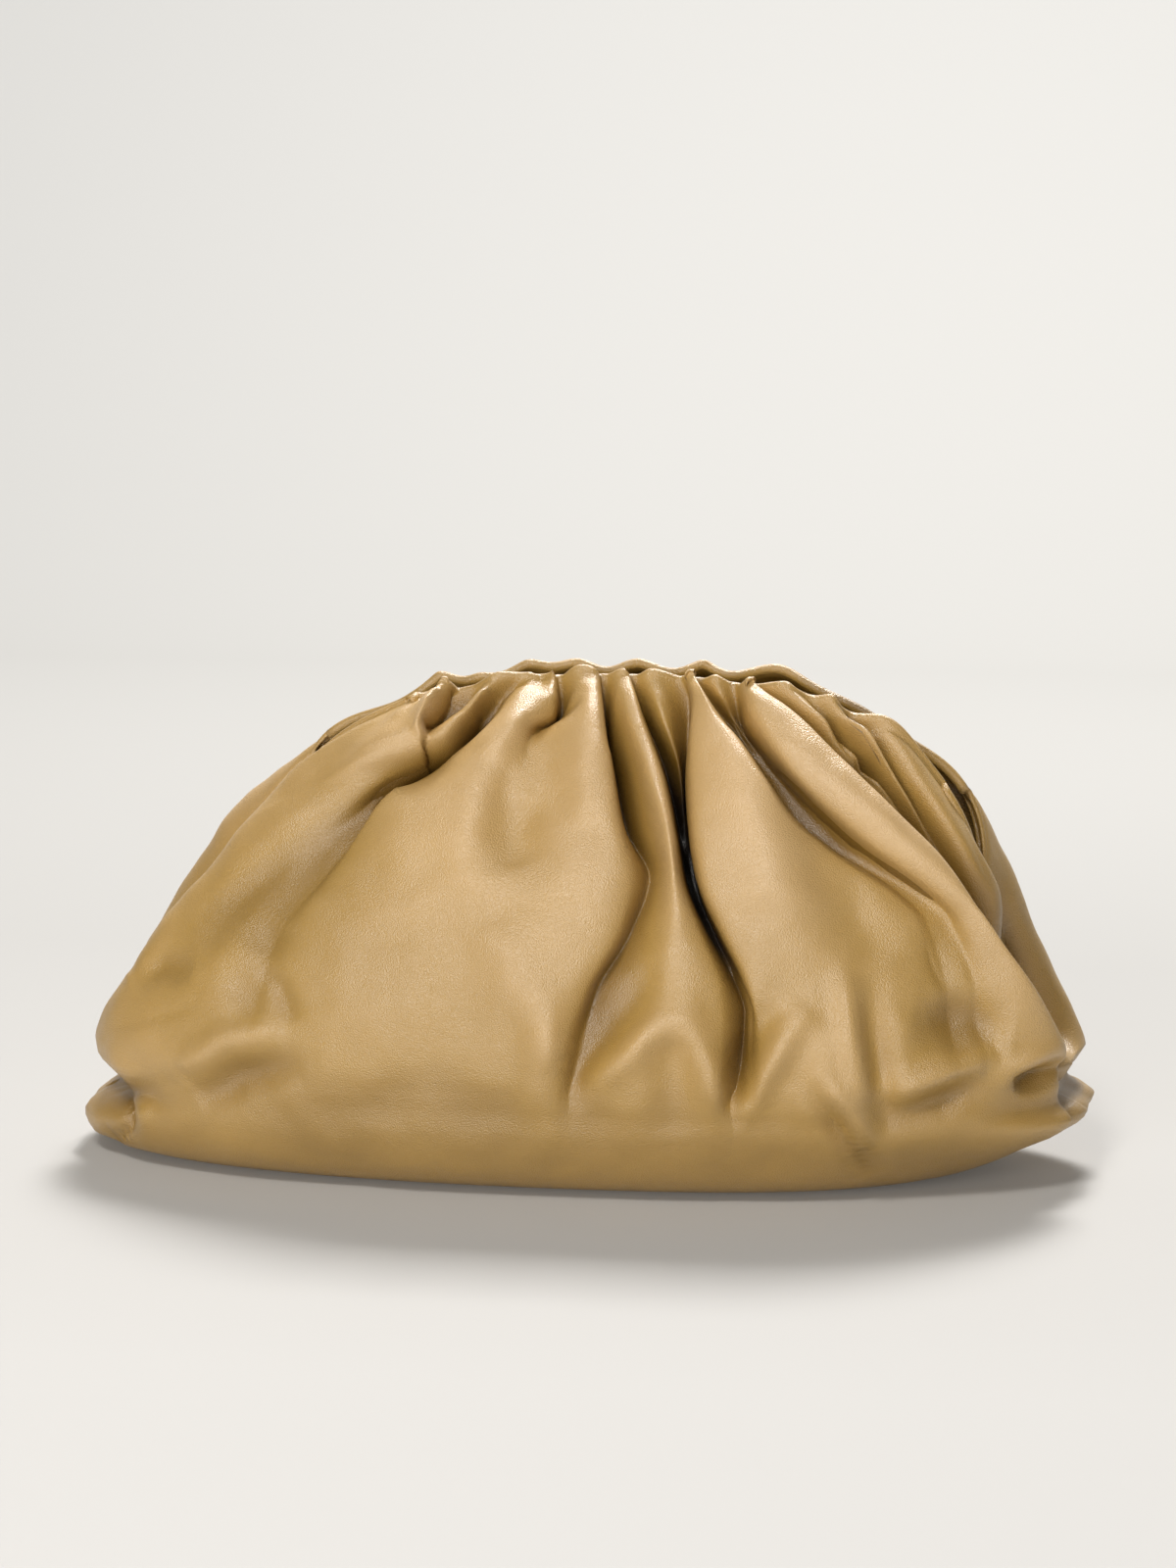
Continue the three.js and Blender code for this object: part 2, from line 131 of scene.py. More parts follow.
# A curve through a few points that never overshoots them
def easy(xs, ys, at):
    xs, ys = np.array(xs, float), np.array(ys, float)
    step = np.diff(xs)
    rise = np.diff(ys) / step
    slope = np.zeros_like(ys)
    both = rise[:-1] * rise[1:] > 0
    w1, w2 = 2 * step[1:] + step[:-1], step[1:] + 2 * step[:-1]
    with np.errstate(divide="ignore", invalid="ignore"):
        inner = (w1 + w2) / (w1 / rise[:-1] + w2 / rise[1:])
    slope[1:-1] = np.where(both, inner, 0)
    slope[0], slope[-1] = rise[0], rise[-1]
    at = np.clip(at, xs[0], xs[-1])
    i = np.clip(np.searchsorted(xs, at) - 1, 0, len(step) - 1)
    t = (at - xs[i]) / step[i]
    a, b = ys[i], ys[i + 1]
    p, q = slope[i] * step[i], slope[i + 1] * step[i]
    return a + t * (p + t * (3 * (b - a) - 2 * p - q + t * (2 * (a - b) + p + q)))


# Round the pouch, angle 0 is the left side cleft, the front is 0 to pi, and the back pi to 2 pi
def shareAt(angle):
    c = np.cos(angle)
    return -np.sign(c) * np.abs(c) ** (2 / pouch["planRoundness"])


def girthAt(angle):
    s = np.sin(angle)
    return -np.sign(s) * np.abs(s) ** (2 / pouch["planRoundness"])


def angleAt(share, back=False):
    share = np.clip(share, -1, 1)
    angle = np.arccos(-np.sign(share) * np.abs(share) ** (pouch["planRoundness"] / 2))
    return 2 * math.pi - angle if back else angle


def archHeight(share, outside):
    rounded = np.maximum(0, 1 - np.abs(share) ** pouch["archRoundness"]) ** (1 / pouch["archRoundness"])
    return pouch["hingeHeight"] + (pouch["frameRise"] + outside) * rounded


def gapeAt(share):
    away = np.minimum(1, np.abs(share - pouch["gapeAt"]) / pouch["gapeReach"])
    return pouch["gape"] / 2 * np.cos(away * math.pi / 2) ** 2


# A point of the pouch without folds. Level runs from -1 at the sole to 0 at the belly and 1 at the rim.
def envelope(angle, level):
    share, girth = shareAt(angle), girthAt(angle)
    section = np.array(lowerSections)
    height = np.clip(1 + level, 0, 1)
    left, right, fat = (easy(section[:, 0], section[:, k], height) for k in (1, 2, 3))
    half = pouch["width"] / 2 * (left + (right - left) * smooth(-1, 1, share))
    lowX, lowY = half * share, pouch["depth"] / 2 * fat * girth
    up = np.clip(level, 0, 1)
    lean = 1 - up ** pouch["fullness"]
    rimX = pouch["frameOffset"] + (pouch["frameWidth"] / 2 + pouch["hideTop"]) * share
    closing = smooth(pouch["rimClosesFrom"], 1, np.abs(share))
    rimY = np.where(girth > 0, 1, -1) * (pouch["hideOutside"] + gapeAt(share)) * np.sqrt(1 - closing ** 2)
    x = rimX + (lowX - rimX) * lean
    y = rimY + (lowY - rimY) * lean
    z = pouch["bellyHeight"] * height + (archHeight(share, pouch["hideTop"]) - pouch["bellyHeight"]) * up
    return np.stack([x, y, z], -1)


def outwardAt(angle, level):
    step = 0.012
    above, under = np.minimum(1, np.maximum(level, 0) + step), np.maximum(0, level - step)
    up = envelope(angle, above) - envelope(angle, under)
    along = envelope(angle + step, level) - envelope(angle - step, level)
    return unit(np.cross(along, up))


# The angle and level of the front that a pixel of the photo shows, for hide that stands out mm
def onFront(px, py, out):
    def shown(angle, level):
        return inPhoto(envelope(angle, level) + outwardAt(angle, level) * out[:, None] + shift)

    angle = angleAt(np.clip((px - 600) / 520, -0.97, 0.97))
    level = np.clip((1130 - py) / 440, -0.9, 1)
    da = dl = 0.004
    for _ in range(40):
        x, y = shown(angle, level)
        xa, ya = shown(angle + da, level)
        xl, yl = shown(angle, level - dl)
        a, b, c, d = (xa - x) / da, (x - xl) / dl, (ya - y) / da, (y - yl) / dl
        det = a * d - b * c
        det = np.where(np.abs(det) < 1, np.where(det < 0, -1, 1), det)
        ex, ey = px - x, py - y
        angle = np.clip(angle + np.clip((d * ex - b * ey) / det, -0.1, 0.1), 0.02, math.pi - 0.02)
        level = np.clip(level + np.clip((a * ey - c * ex) / det, -0.06, 0.06), -0.98, 1)
    return angle, level


# Fold lines of the front, left to right, as they run down the photo: (pixel down, pixel across,
# mm out). The first value is how sharp the line is, from 0 for a round crest to 1 for a crease.
frontLines = {
    "left shoulder": (0.1, [(700, 425, 3), (740, 352, 6), (800, 272, 6), (900, 190, 4), (1000, 128, 3),
        (1060, 106, 2), (1180, 130, 0)]),
    "left panel": (0.0, [(700, 440, 4), (740, 385, 5), (800, 320, 4), (900, 216, 2), (1000, 155, 1),
        (1060, 136, 2), (1180, 165, 0)]),
    "hook lip": (0.0, [(698, 462, 5), (720, 440, 8), (745, 424, 9), (762, 427, 7), (790, 398, 1),
        (840, 335, -1), (920, 246, -2), (1000, 190, 0), (1180, 215, 0)]),
    "hook gap": (0.5, [(697, 474, 0), (720, 452, -7), (742, 441, -10), (758, 438, 4), (775, 424, 1),
        (790, 412, -5), (840, 352, -3), (920, 268, -2), (1000, 216, 0), (1180, 240, 0)]),
    "tucked roll": (0.0, [(694, 500, 4), (715, 486, 5), (735, 470, 5), (752, 457, 5), (767, 445, 1),
        (790, 424, -7), (840, 362, -4), (920, 290, -2), (1000, 240, 0), (1180, 262, 0)]),
    "big lobe gap": (0.6, [(692, 533, 0), (715, 519, -5), (740, 500, -10), (765, 474, -14),
        (790, 434, -14), (805, 408, -12), (840, 374, -4), (907, 322, -2), (950, 285, -1), (1180, 320, 0)]),
    "big lobe edge": (0.1, [(690, 546, 2), (712, 530, 4), (740, 503, 6), (765, 471, 7), (790, 428, 6),
        (805, 402, 5), (840, 372, 2), (907, 330, 0), (950, 300, 0), (1180, 340, 0)]),
    "big lobe": (0.0, [(690, 553, 2), (712, 545, 5), (740, 530, 7), (790, 490, 8), (840, 474, 7),
        (900, 455, 5), (1000, 420, 3), (1180, 400, 0)]),
    "notch lip": (0.1, [(690, 565, 4), (710, 566, 4), (728, 566, 2), (745, 542, 4), (790, 522, 5),
        (860, 500, 5), (940, 490, 4), (1050, 480, 2), (1180, 460, 0)]),
    "notch": (0.3, [(690, 572, -2), (710, 574, -7), (728, 574, -9), (745, 548, 0), (790, 534, 4.5),
        (860, 520, 5), (940, 512, 4.5), (1050, 500, 2), (1180, 480, 0)]),
    "notch edge": (0.0, [(690, 583, 3), (710, 586, 3), (728, 578, 2), (745, 560, 3), (790, 554, 5),
        (860, 546, 6), (940, 535, 6), (1050, 525, 2), (1180, 510, 0)]),
    "centre lobe": (0.0, [(690, 604, 5), (730, 600, 8), (790, 598, 9), (860, 594, 9), (920, 590, 7),
        (1000, 572, 5), (1080, 556, 3), (1180, 545, 0)]),
    "centre lobe edge": (0.1, [(690, 610, 4), (730, 612, 7), (790, 620, 9), (850, 629, 8),
        (900, 640, 5), (950, 628, 3), (1010, 596, 2), (1080, 572, 1), (1180, 565, 0)]),
    "first groove": (0.6, [(690, 615, -1), (730, 618, -8), (790, 627, -11), (850, 640, -10),
        (900, 663, -6), (950, 645, -6), (1010, 610, -6), (1080, 590, -5), (1115, 582, -3),
        (1180, 582, 0)]),
    "narrow lobe": (0.0, [(690, 628, 4), (730, 642, 5), (790, 664, 7), (850, 682, 9), (900, 688, 8),
        (950, 690, 6), (1010, 672, 4), (1080, 655, 3), (1180, 640, 0)]),
    "narrow lobe edge": (0.2, [(690, 640, 4), (730, 652, 5), (790, 673, 6), (850, 687, 7),
        (900, 695, 5), (950, 713, 3), (1010, 733, 2), (1080, 735, 1), (1180, 715, 0)]),
    "deep groove": (0.8, [(690, 645, -2), (730, 656, -8), (790, 680, -15), (850, 694, -22),
        (900, 702, -24), (950, 722, -17), (1002, 750, -10), (1034, 760, -8), (1080, 757, -7),
        (1125, 745, -4), (1180, 745, 0)]),
    "sunk pleat": (0.1, [(690, 661, 4), (730, 676, 2), (790, 694, -8), (850, 699, -21), (900, 707, -26),
        (950, 727, -19), (1002, 752, -9), (1034, 764, -4), (1180, 755, 0)]),
    "sunk gap": (0.5, [(690, 694, -1), (715, 702, -5), (760, 702, -9), (800, 701, -16), (850, 705, -23),
        (900, 713, -25), (950, 732, -14), (1002, 757, -5), (1034, 768, -2), (1180, 765, 0)]),
    "right lobe left": (0.1, [(690, 700, 4), (715, 708, 6), (760, 706, 6), (830, 709, 7), (900, 720, 7),
        (950, 741, 5), (1002, 764, 3), (1050, 775, 2), (1180, 780, 0)]),
    "right lobe": (0.0, [(690, 705, 5), (725, 722, 9), (760, 740, 10), (830, 762, 10), (900, 780, 9),
        (950, 795, 6), (1002, 810, 4), (1050, 820, 3), (1180, 820, 0)]),
    "right lobe edge": (0.2, [(690, 708, 5), (727, 727, 9), (750, 748, 9), (792, 776, 9), (840, 808, 7),
        (860, 836, 5), (885, 873, 4), (910, 908, 3), (940, 935, 2), (1050, 960, 1), (1180, 900, 0)]),
    "right lobe gap": (0.5, [(690, 714, -2), (727, 731, -7), (750, 752, -9), (792, 780, -8),
        (840, 813, -7), (860, 842, -5), (885, 880, -3), (910, 916, -1), (940, 945, 0), (1050, 975, 0),
        (1180, 920, 0)]),
    "small pleat": (0.1, [(690, 730, 4), (705, 735, 4), (725, 744, -2), (750, 758, -7), (792, 790, -8),
        (860, 856, -4.5), (940, 960, 0), (1050, 995, 1), (1180, 940, 0)]),
    "pleat crease": (0.4, [(690, 750, -2), (710, 751, -7), (745, 757, -9), (770, 774, -8),
        (792, 797, -5), (860, 868, -2), (940, 970, 1), (1050, 1005, 1), (1180, 955, 0)]),
    "long lobe": (0.0, [(690, 758, 4), (710, 763, 7), (745, 780, 8), (792, 812, 7), (860, 885, 6),
        (940, 982, 5), (1050, 1030, 4), (1120, 1040, 2), (1180, 990, 0)]),
    "long lobe edge": (0.2, [(687, 770, 5), (720, 801, 8), (760, 843, 9), (801, 885, 10),
        (840, 925, 10), (874, 960, 10), (930, 1000, 9), (1000, 1050, 8), (1050, 1082, 6),
        (1085, 1092, 3), (1180, 1040, 0)]),
}

# Lines that the photo doesn't show, or not from end to end, and those of the back: (level, share
# of the half width, mm out, mm up over the rim), after the sharpness
sideLines = {
    "under the long lobe": (0.3, [(1, 0.4, 0, 0), (0.93, 0.52, -7, 0), (0.85, 0.62, -9, 0),
        (0.7, 0.78, -12, 0), (0.5, 0.88, -15, 0), (0.3, 0.94, -13, 0), (0, 0.975, -4, 0)]),
    "arm fold": (0.1, [(1, 0.46, 6, 2.5), (0.95, 0.54, 6, 0), (0.85, 0.67, 1, 0), (0.7, 0.8, -8, 0),
        (0.5, 0.9, -14, 0), (0.3, 0.95, -13, 0), (0, 0.98, -4, 0)]),
    "arm groove": (0.2, [(1, 0.52, -1, 0), (0.95, 0.59, -4, 0), (0.85, 0.7, -5, 0), (0.7, 0.82, -10, 0),
        (0.5, 0.91, -14, 0), (0.3, 0.955, -13, 0), (0, 0.983, -4, 0)]),
    "arm tent": (0.1, [(1, 0.57, 7, 3), (0.95, 0.635, 7, 0), (0.85, 0.74, 1, 0), (0.7, 0.84, -8, 0),
        (0.5, 0.92, -14, 0), (0.3, 0.96, -13, 0), (0, 0.986, -4, 0)]),
    "arm crease": (0.3, [(1, 0.62, -1, 0), (0.95, 0.67, -5, 0), (0.85, 0.77, -5, 0), (0.7, 0.86, -8, 0),
        (0.5, 0.93, -14, 0), (0.3, 0.965, -13, 0), (0, 0.988, -4, 0)]),
    "arm panel": (0.0, [(1, 0.69, 5, 2), (0.9, 0.77, 3, 0), (0.75, 0.87, -1, 0), (0.55, 0.94, -12, 0),
        (0.3, 0.972, -14, 0), (0, 0.99, -4, 0)]),
    "arm seam": (0.1, [(1, 0.86, 1, 0), (0.9, 0.89, 1, 0), (0.75, 0.93, -1, 0), (0.55, 0.955, -12, 0),
        (0.3, 0.98, -16, 0), (0, 0.993, -5, 0)]),
    "right flank": (0.0, [(1, 0.96, 0, 0), (0.85, 0.972, 0, 0), (0.6, 0.982, -10, 0),
        (0.3, 0.99, -18, 0), (0, 0.997, -5, 0)]),
}
backLines = {
    "right cleft": (0.3, [(1, 1, 0, 0), (0.85, 1, -5, 0), (0.6, 1, -16, 0), (0.3, 1, -20, 0),
        (0, 1, -5, 0)]),
    "right back flank": (0.1, [(1, 0.97, 3.5, 1), (0.72, 0.975, 0, 0), (0.45, 0.985, -4, 0),
        (0, 0.985, 1, 0)]),
    "right back lobe": (0.0, [(1, 0.87, 2.1, 2.5), (0.85, 0.885, 5, 0), (0.72, 0.9, 4, 0),
        (0.45, 0.94, 0, 0), (0, 0.95, 2, 0)]),
    "eye groove": (0.4, [(1, 0.76, -3, 2.5), (0.9, 0.79, -6, 0), (0.72, 0.82, -6, 0),
        (0.45, 0.88, -2, 0), (0, 0.88, 1, 0)]),
    "right back shoulder": (0.0, [(1, 0.64, -6, 6.5), (0.9, 0.67, 4, 0), (0.72, 0.7, 8, 0),
        (0.45, 0.79, 6, 0), (0, 0.78, 2, 0)]),
    "leaf fold": (0.3, [(1, 0.58, -3, 4), (0.9, 0.61, -4, 0), (0.72, 0.64, -4, 0), (0.45, 0.72, 0, 0),
        (0, 0.73, 0, 0)]),
    "arch groove": (0.3, [(1, 0.51, -2, 4.5), (0.9, 0.54, -5, 0), (0.72, 0.58, -8, 0),
        (0.45, 0.66, -2, 0), (0, 0.68, 0, 0)]),
    "arch lobe": (0.0, [(1, 0.4, 4.2, 4.5), (0.72, 0.47, 9, 0), (0.45, 0.52, 7, 0), (0, 0.56, 2, 0)]),
    "back groove one": (0.6, [(1, 0.29, -0.7, 1.2), (0.72, 0.34, -12, 0), (0.45, 0.4, -8, 0),
        (0, 0.42, -2, 0)]),
    "back lobe one": (0.0, [(1, 0.21, 3.5, 1.6), (0.72, 0.25, 8, 0), (0.45, 0.28, 7, 0), (0, 0.3, 2, 0)]),
    "back groove two": (0.6, [(1, 0.13, -0.7, 0.6), (0.72, 0.16, -11, 0), (0.45, 0.16, -7, 0),
        (0, 0.13, -3, 0)]),
    "back lobe two": (0.0, [(1, 0.04, 3.5, 1.4), (0.72, 0.03, 9, 0), (0.45, 0.02, 8, 0), (0, 0, 2, 0)]),
    "back groove three": (0.7, [(1, -0.05, -0.7, 0.4), (0.72, -0.09, -17, 0), (0.45, -0.12, -18, 0),
        (0, -0.17, -6, 0)]),
    "back lobe three": (0.0, [(1, -0.13, 3.5, 1.4), (0.72, -0.19, 8, 0), (0.45, -0.25, 9, 0),
        (0, -0.3, 3, 0)]),
    "back groove four": (0.6, [(1, -0.22, -0.7, 0.6), (0.72, -0.32, -11, 0), (0.45, -0.4, -5, 0),
        (0, -0.44, 0, 0)]),
    "back lobe four": (0.0, [(1, -0.31, 4.2, 1.6), (0.72, -0.43, 8, 0), (0.45, -0.52, 7, 0),
        (0, -0.56, 2, 0)]),
    "back groove five": (0.6, [(1, -0.42, -0.7, 1.2), (0.72, -0.56, -11, 0), (0.45, -0.67, -6, 0),
        (0, -0.72, -1, 0)]),
    "left back shoulder": (0.0, [(1, -0.54, 4.2, 3), (0.72, -0.68, 12, 0), (0.45, -0.79, 7, 0),
        (0, -0.82, 2, 0)]),
    "back groove six": (0.5, [(1, -0.66, -0.7, 2.6), (0.72, -0.78, -5, 0), (0.45, -0.87, 1, 0),
        (0, -0.88, 1, 0)]),
    "left back lobe": (0.0, [(1, -0.82, 3.5, 4), (0.72, -0.88, 13, 0), (0.45, -0.94, 8, 0),
        (0, -0.94, 3, 0)]),
    "left back flank": (0.0, [(1, -0.965, 2.8, 2), (0.72, -0.975, 7, 0), (0.45, -0.985, 2, 0),
        (0, -0.985, 1, 0)]),
}
frontEdges = {
    "left cleft": (0.3, [(1, -1, 0, 0), (0.85, -1, -4, 0), (0.6, -1, -12, 0), (0.3, -1, -15, 0),
        (0, -1, -5, 0)]),
    "left flank": (0.0, [(1, -0.98, 2, 2), (0.72, -0.992, 0, 0), (0.45, -0.994, -4, 0), (0, -0.99, 0, 0)]),
}
order = {
    "apart": 1.4,  # mm between lines at the sides
    "over": -1.6,  # mm that a fold's edge may stand over its groove
    "crowded": 0.6,  # share of apart that is kept beside the right cleft
    "armPasses": 14,
    "radius": 120.0,
    "deeper": 0.35,  # share by which a groove is sunk more than its line says, away from the rim
    "prouder": 0.25,
}

grid = {
    "rows": 86,  # belly to rim
    "lowerRows": 18,  # sole to belly
    "soleRings": (0.2, 0.45, 0.7, 0.88),  # shares of the sole's outline
    "rollRows": 6,  # over the rim
    "columns": 700,
    "backShare": 0.62,  # how much coarser the back is
    "dense": 1.5,  # finer beside the sharpest folds
    "denseAt": ("hook lip", "hook gap", "tucked roll", "narrow lobe edge", "deep groove", "sunk gap",
                "long lobe edge"),
    "around": 150,  # columns in a radian, before they are shared out
    "out": 0.6,  # columns for each mm from crest to groove
    "fewest": 3,  # columns in a span between two lines
    "innerEvery": 5,  # the inner skin has one row for so many of the outer
    "innerReach": (3, 4),  # rows and columns round a point that it keeps behind
}


def readLine(points, levels, back):
    points = sorted(points)
    level = [p[0] for p in points]
    angle = [angleAt(p[1], back) for p in points]
    return (easy(level, angle, levels), easy(level, [p[2] for p in points], levels),
            easy(level, [p[3] for p in points], levels))


def readPhotoLine(points, levels):
    px, py = np.array([p[1] for p in points], float), np.array([p[0] for p in points], float)
    out = np.array([p[2] for p in points], float)
    gained = out * (1 + np.where(out < 0, order["deeper"], order["prouder"]))
    angle, level = onFront(px, py, np.where(py < 700, out, gained))
    level[0] = 1
    keep = []
    for k in np.argsort(level):
        if not keep or level[k] - level[keep[-1]] > 0.012:
            keep.append(k)
    if keep[-1] != 0:
        keep[-1] = 0
    angles, outs = easy(level[keep], angle[keep], levels), easy(level[keep], out[keep], levels)
    return angles, outs, np.zeros_like(levels)


# Smooth closed curves through the lines at every level, each in its own row
def throughLines(angles, outs, lifts, sharps, counts):
    radius = order["radius"]
    p = np.stack([angles * radius, outs, lifts], -1)
    ahead = np.roll(p, -1, 1)
    ahead[:, -1, 0] += 2 * math.pi * radius
    step = np.sqrt(np.maximum(np.linalg.norm((ahead - p)[..., :2], axis=-1), 0.3))
    stepBack = np.roll(step, 1, 1)
    rise = (ahead - p) / step[..., None]
    riseBack = np.roll(rise, 1, 1)
    slope = (rise * stepBack[..., None] + riseBack * step[..., None]) / (step + stepBack)[..., None]
    slope *= (1 - sharps)[..., None]
    slopeAhead = np.roll(slope, -1, 1)
    rows = []
    for k, count in enumerate(counts):
        t = (np.arange(count) / count)[None, :, None]
        a, b = p[:, k, None], ahead[:, k, None]
        m, n = slope[:, k, None] * step[:, k, None, None], slopeAhead[:, k, None] * step[:, k, None, None]
        rows.append(a + t * (m + t * (3 * (b - a) - 2 * m - n + t * (2 * (a - b) + m + n))))
    curve = np.concatenate(rows, 1)
    return curve[..., 0] / radius, curve[..., 1], curve[..., 2]


# Keeps each line on its own side of the next, level by level
def inOrder(angles):
    apart, over = order["apart"] / order["radius"], order["over"] / order["radius"]
    first = len(frontEdges)
    last = first + len(frontLines)
    for k in range(first - 1, 0, -1):
        angles[:, k] = np.minimum(angles[:, k], angles[:, k + 1] - apart)
    for k in range(first + 1, last):
        angles[:, k] = np.maximum(angles[:, k], angles[:, k - 1] + over)
    angles[:, last] = angles[:, last - 1] + over
    for k in range(last, last + len(sideLines)):
        left = last + len(sideLines) - k
        if k > last:
            angles[:, k] = np.maximum(angles[:, k], angles[:, k - 1] + apart)
        angles[:, k] = np.minimum(angles[:, k], math.pi - apart * left * order["crowded"])
    # the lines on the arm run smoothly where they were pushed aside
    for _ in range(order["armPasses"]):
        run = angles[:, last:last + len(sideLines)]
        run[1:-1] = (run[:-2] + 2 * run[1:-1] + run[2:]) / 4
    return angles


def foldedRing():
    upper = np.sin(np.linspace(0, 1, grid["rows"] + 1) * math.pi / 2 * 0.75) / math.sin(math.pi / 2 * 0.75)
    lower = np.linspace(-1, 0, grid["lowerRows"] + 1)[:-1]
    levels = np.concatenate([lower, upper])
    lines = []
    names = [*frontEdges, *frontLines, *sideLines, *backLines]
    for table in (frontEdges, frontLines, sideLines, backLines):
        for sharp, points in table.values():
            if table is frontLines:
                lines.append((sharp, *readPhotoLine(points, levels)))
            else:
                lines.append((sharp, *readLine(points, levels, table is backLines)))
    angles = inOrder(np.stack([line[1] for line in lines], 1))
    outs = np.stack([line[2] for line in lines], 1)
    lifts = np.stack([line[3] for line in lines], 1)
    sharps = np.array([line[0] for line in lines])
    # the rim's own pleats are round, as the hide is rolled over the frame there
    sharps = sharps[None, :] * (1 - 0.8 * smooth(0.93, 1, levels))[:, None]
    deep = smooth(0, 0.3, levels) * (1 - smooth(0.94, 1, levels))
    outs = outs * (1 + np.where(outs < 0, order["deeper"], order["prouder"]) * deep[:, None])
    # below the belly the folds run out
    outs = outs * np.clip(1 + levels, 0, 1)[:, None]
    ahead = np.roll(angles, -1, 1)
    ahead[:, -1] += 2 * math.pi
    need = []
    for k, name in enumerate(names):
        span = np.abs(ahead[:, k] - angles[:, k]) * grid["around"]
        span = span + np.abs(np.roll(outs, -1, 1)[:, k] - outs[:, k]) * grid["out"]
        front = angles[:, k].mean() < math.pi
        dense = grid["dense"] if name in grid["denseAt"] else 1
        need.append((span.mean() + span.max()) / 2 * (dense if front else grid["backShare"]))
    share = grid["columns"] / sum(need)
    counts = [max(grid["fewest"], round(n * share)) for n in need]
    angle, out, lift = throughLines(angles, outs, lifts, sharps, counts)
    edge = angles[:, len(frontEdges) + len(frontLines) - 1]
    return levels, np.clip(angle, 0, 2 * math.pi), out, lift, edge[:, None]


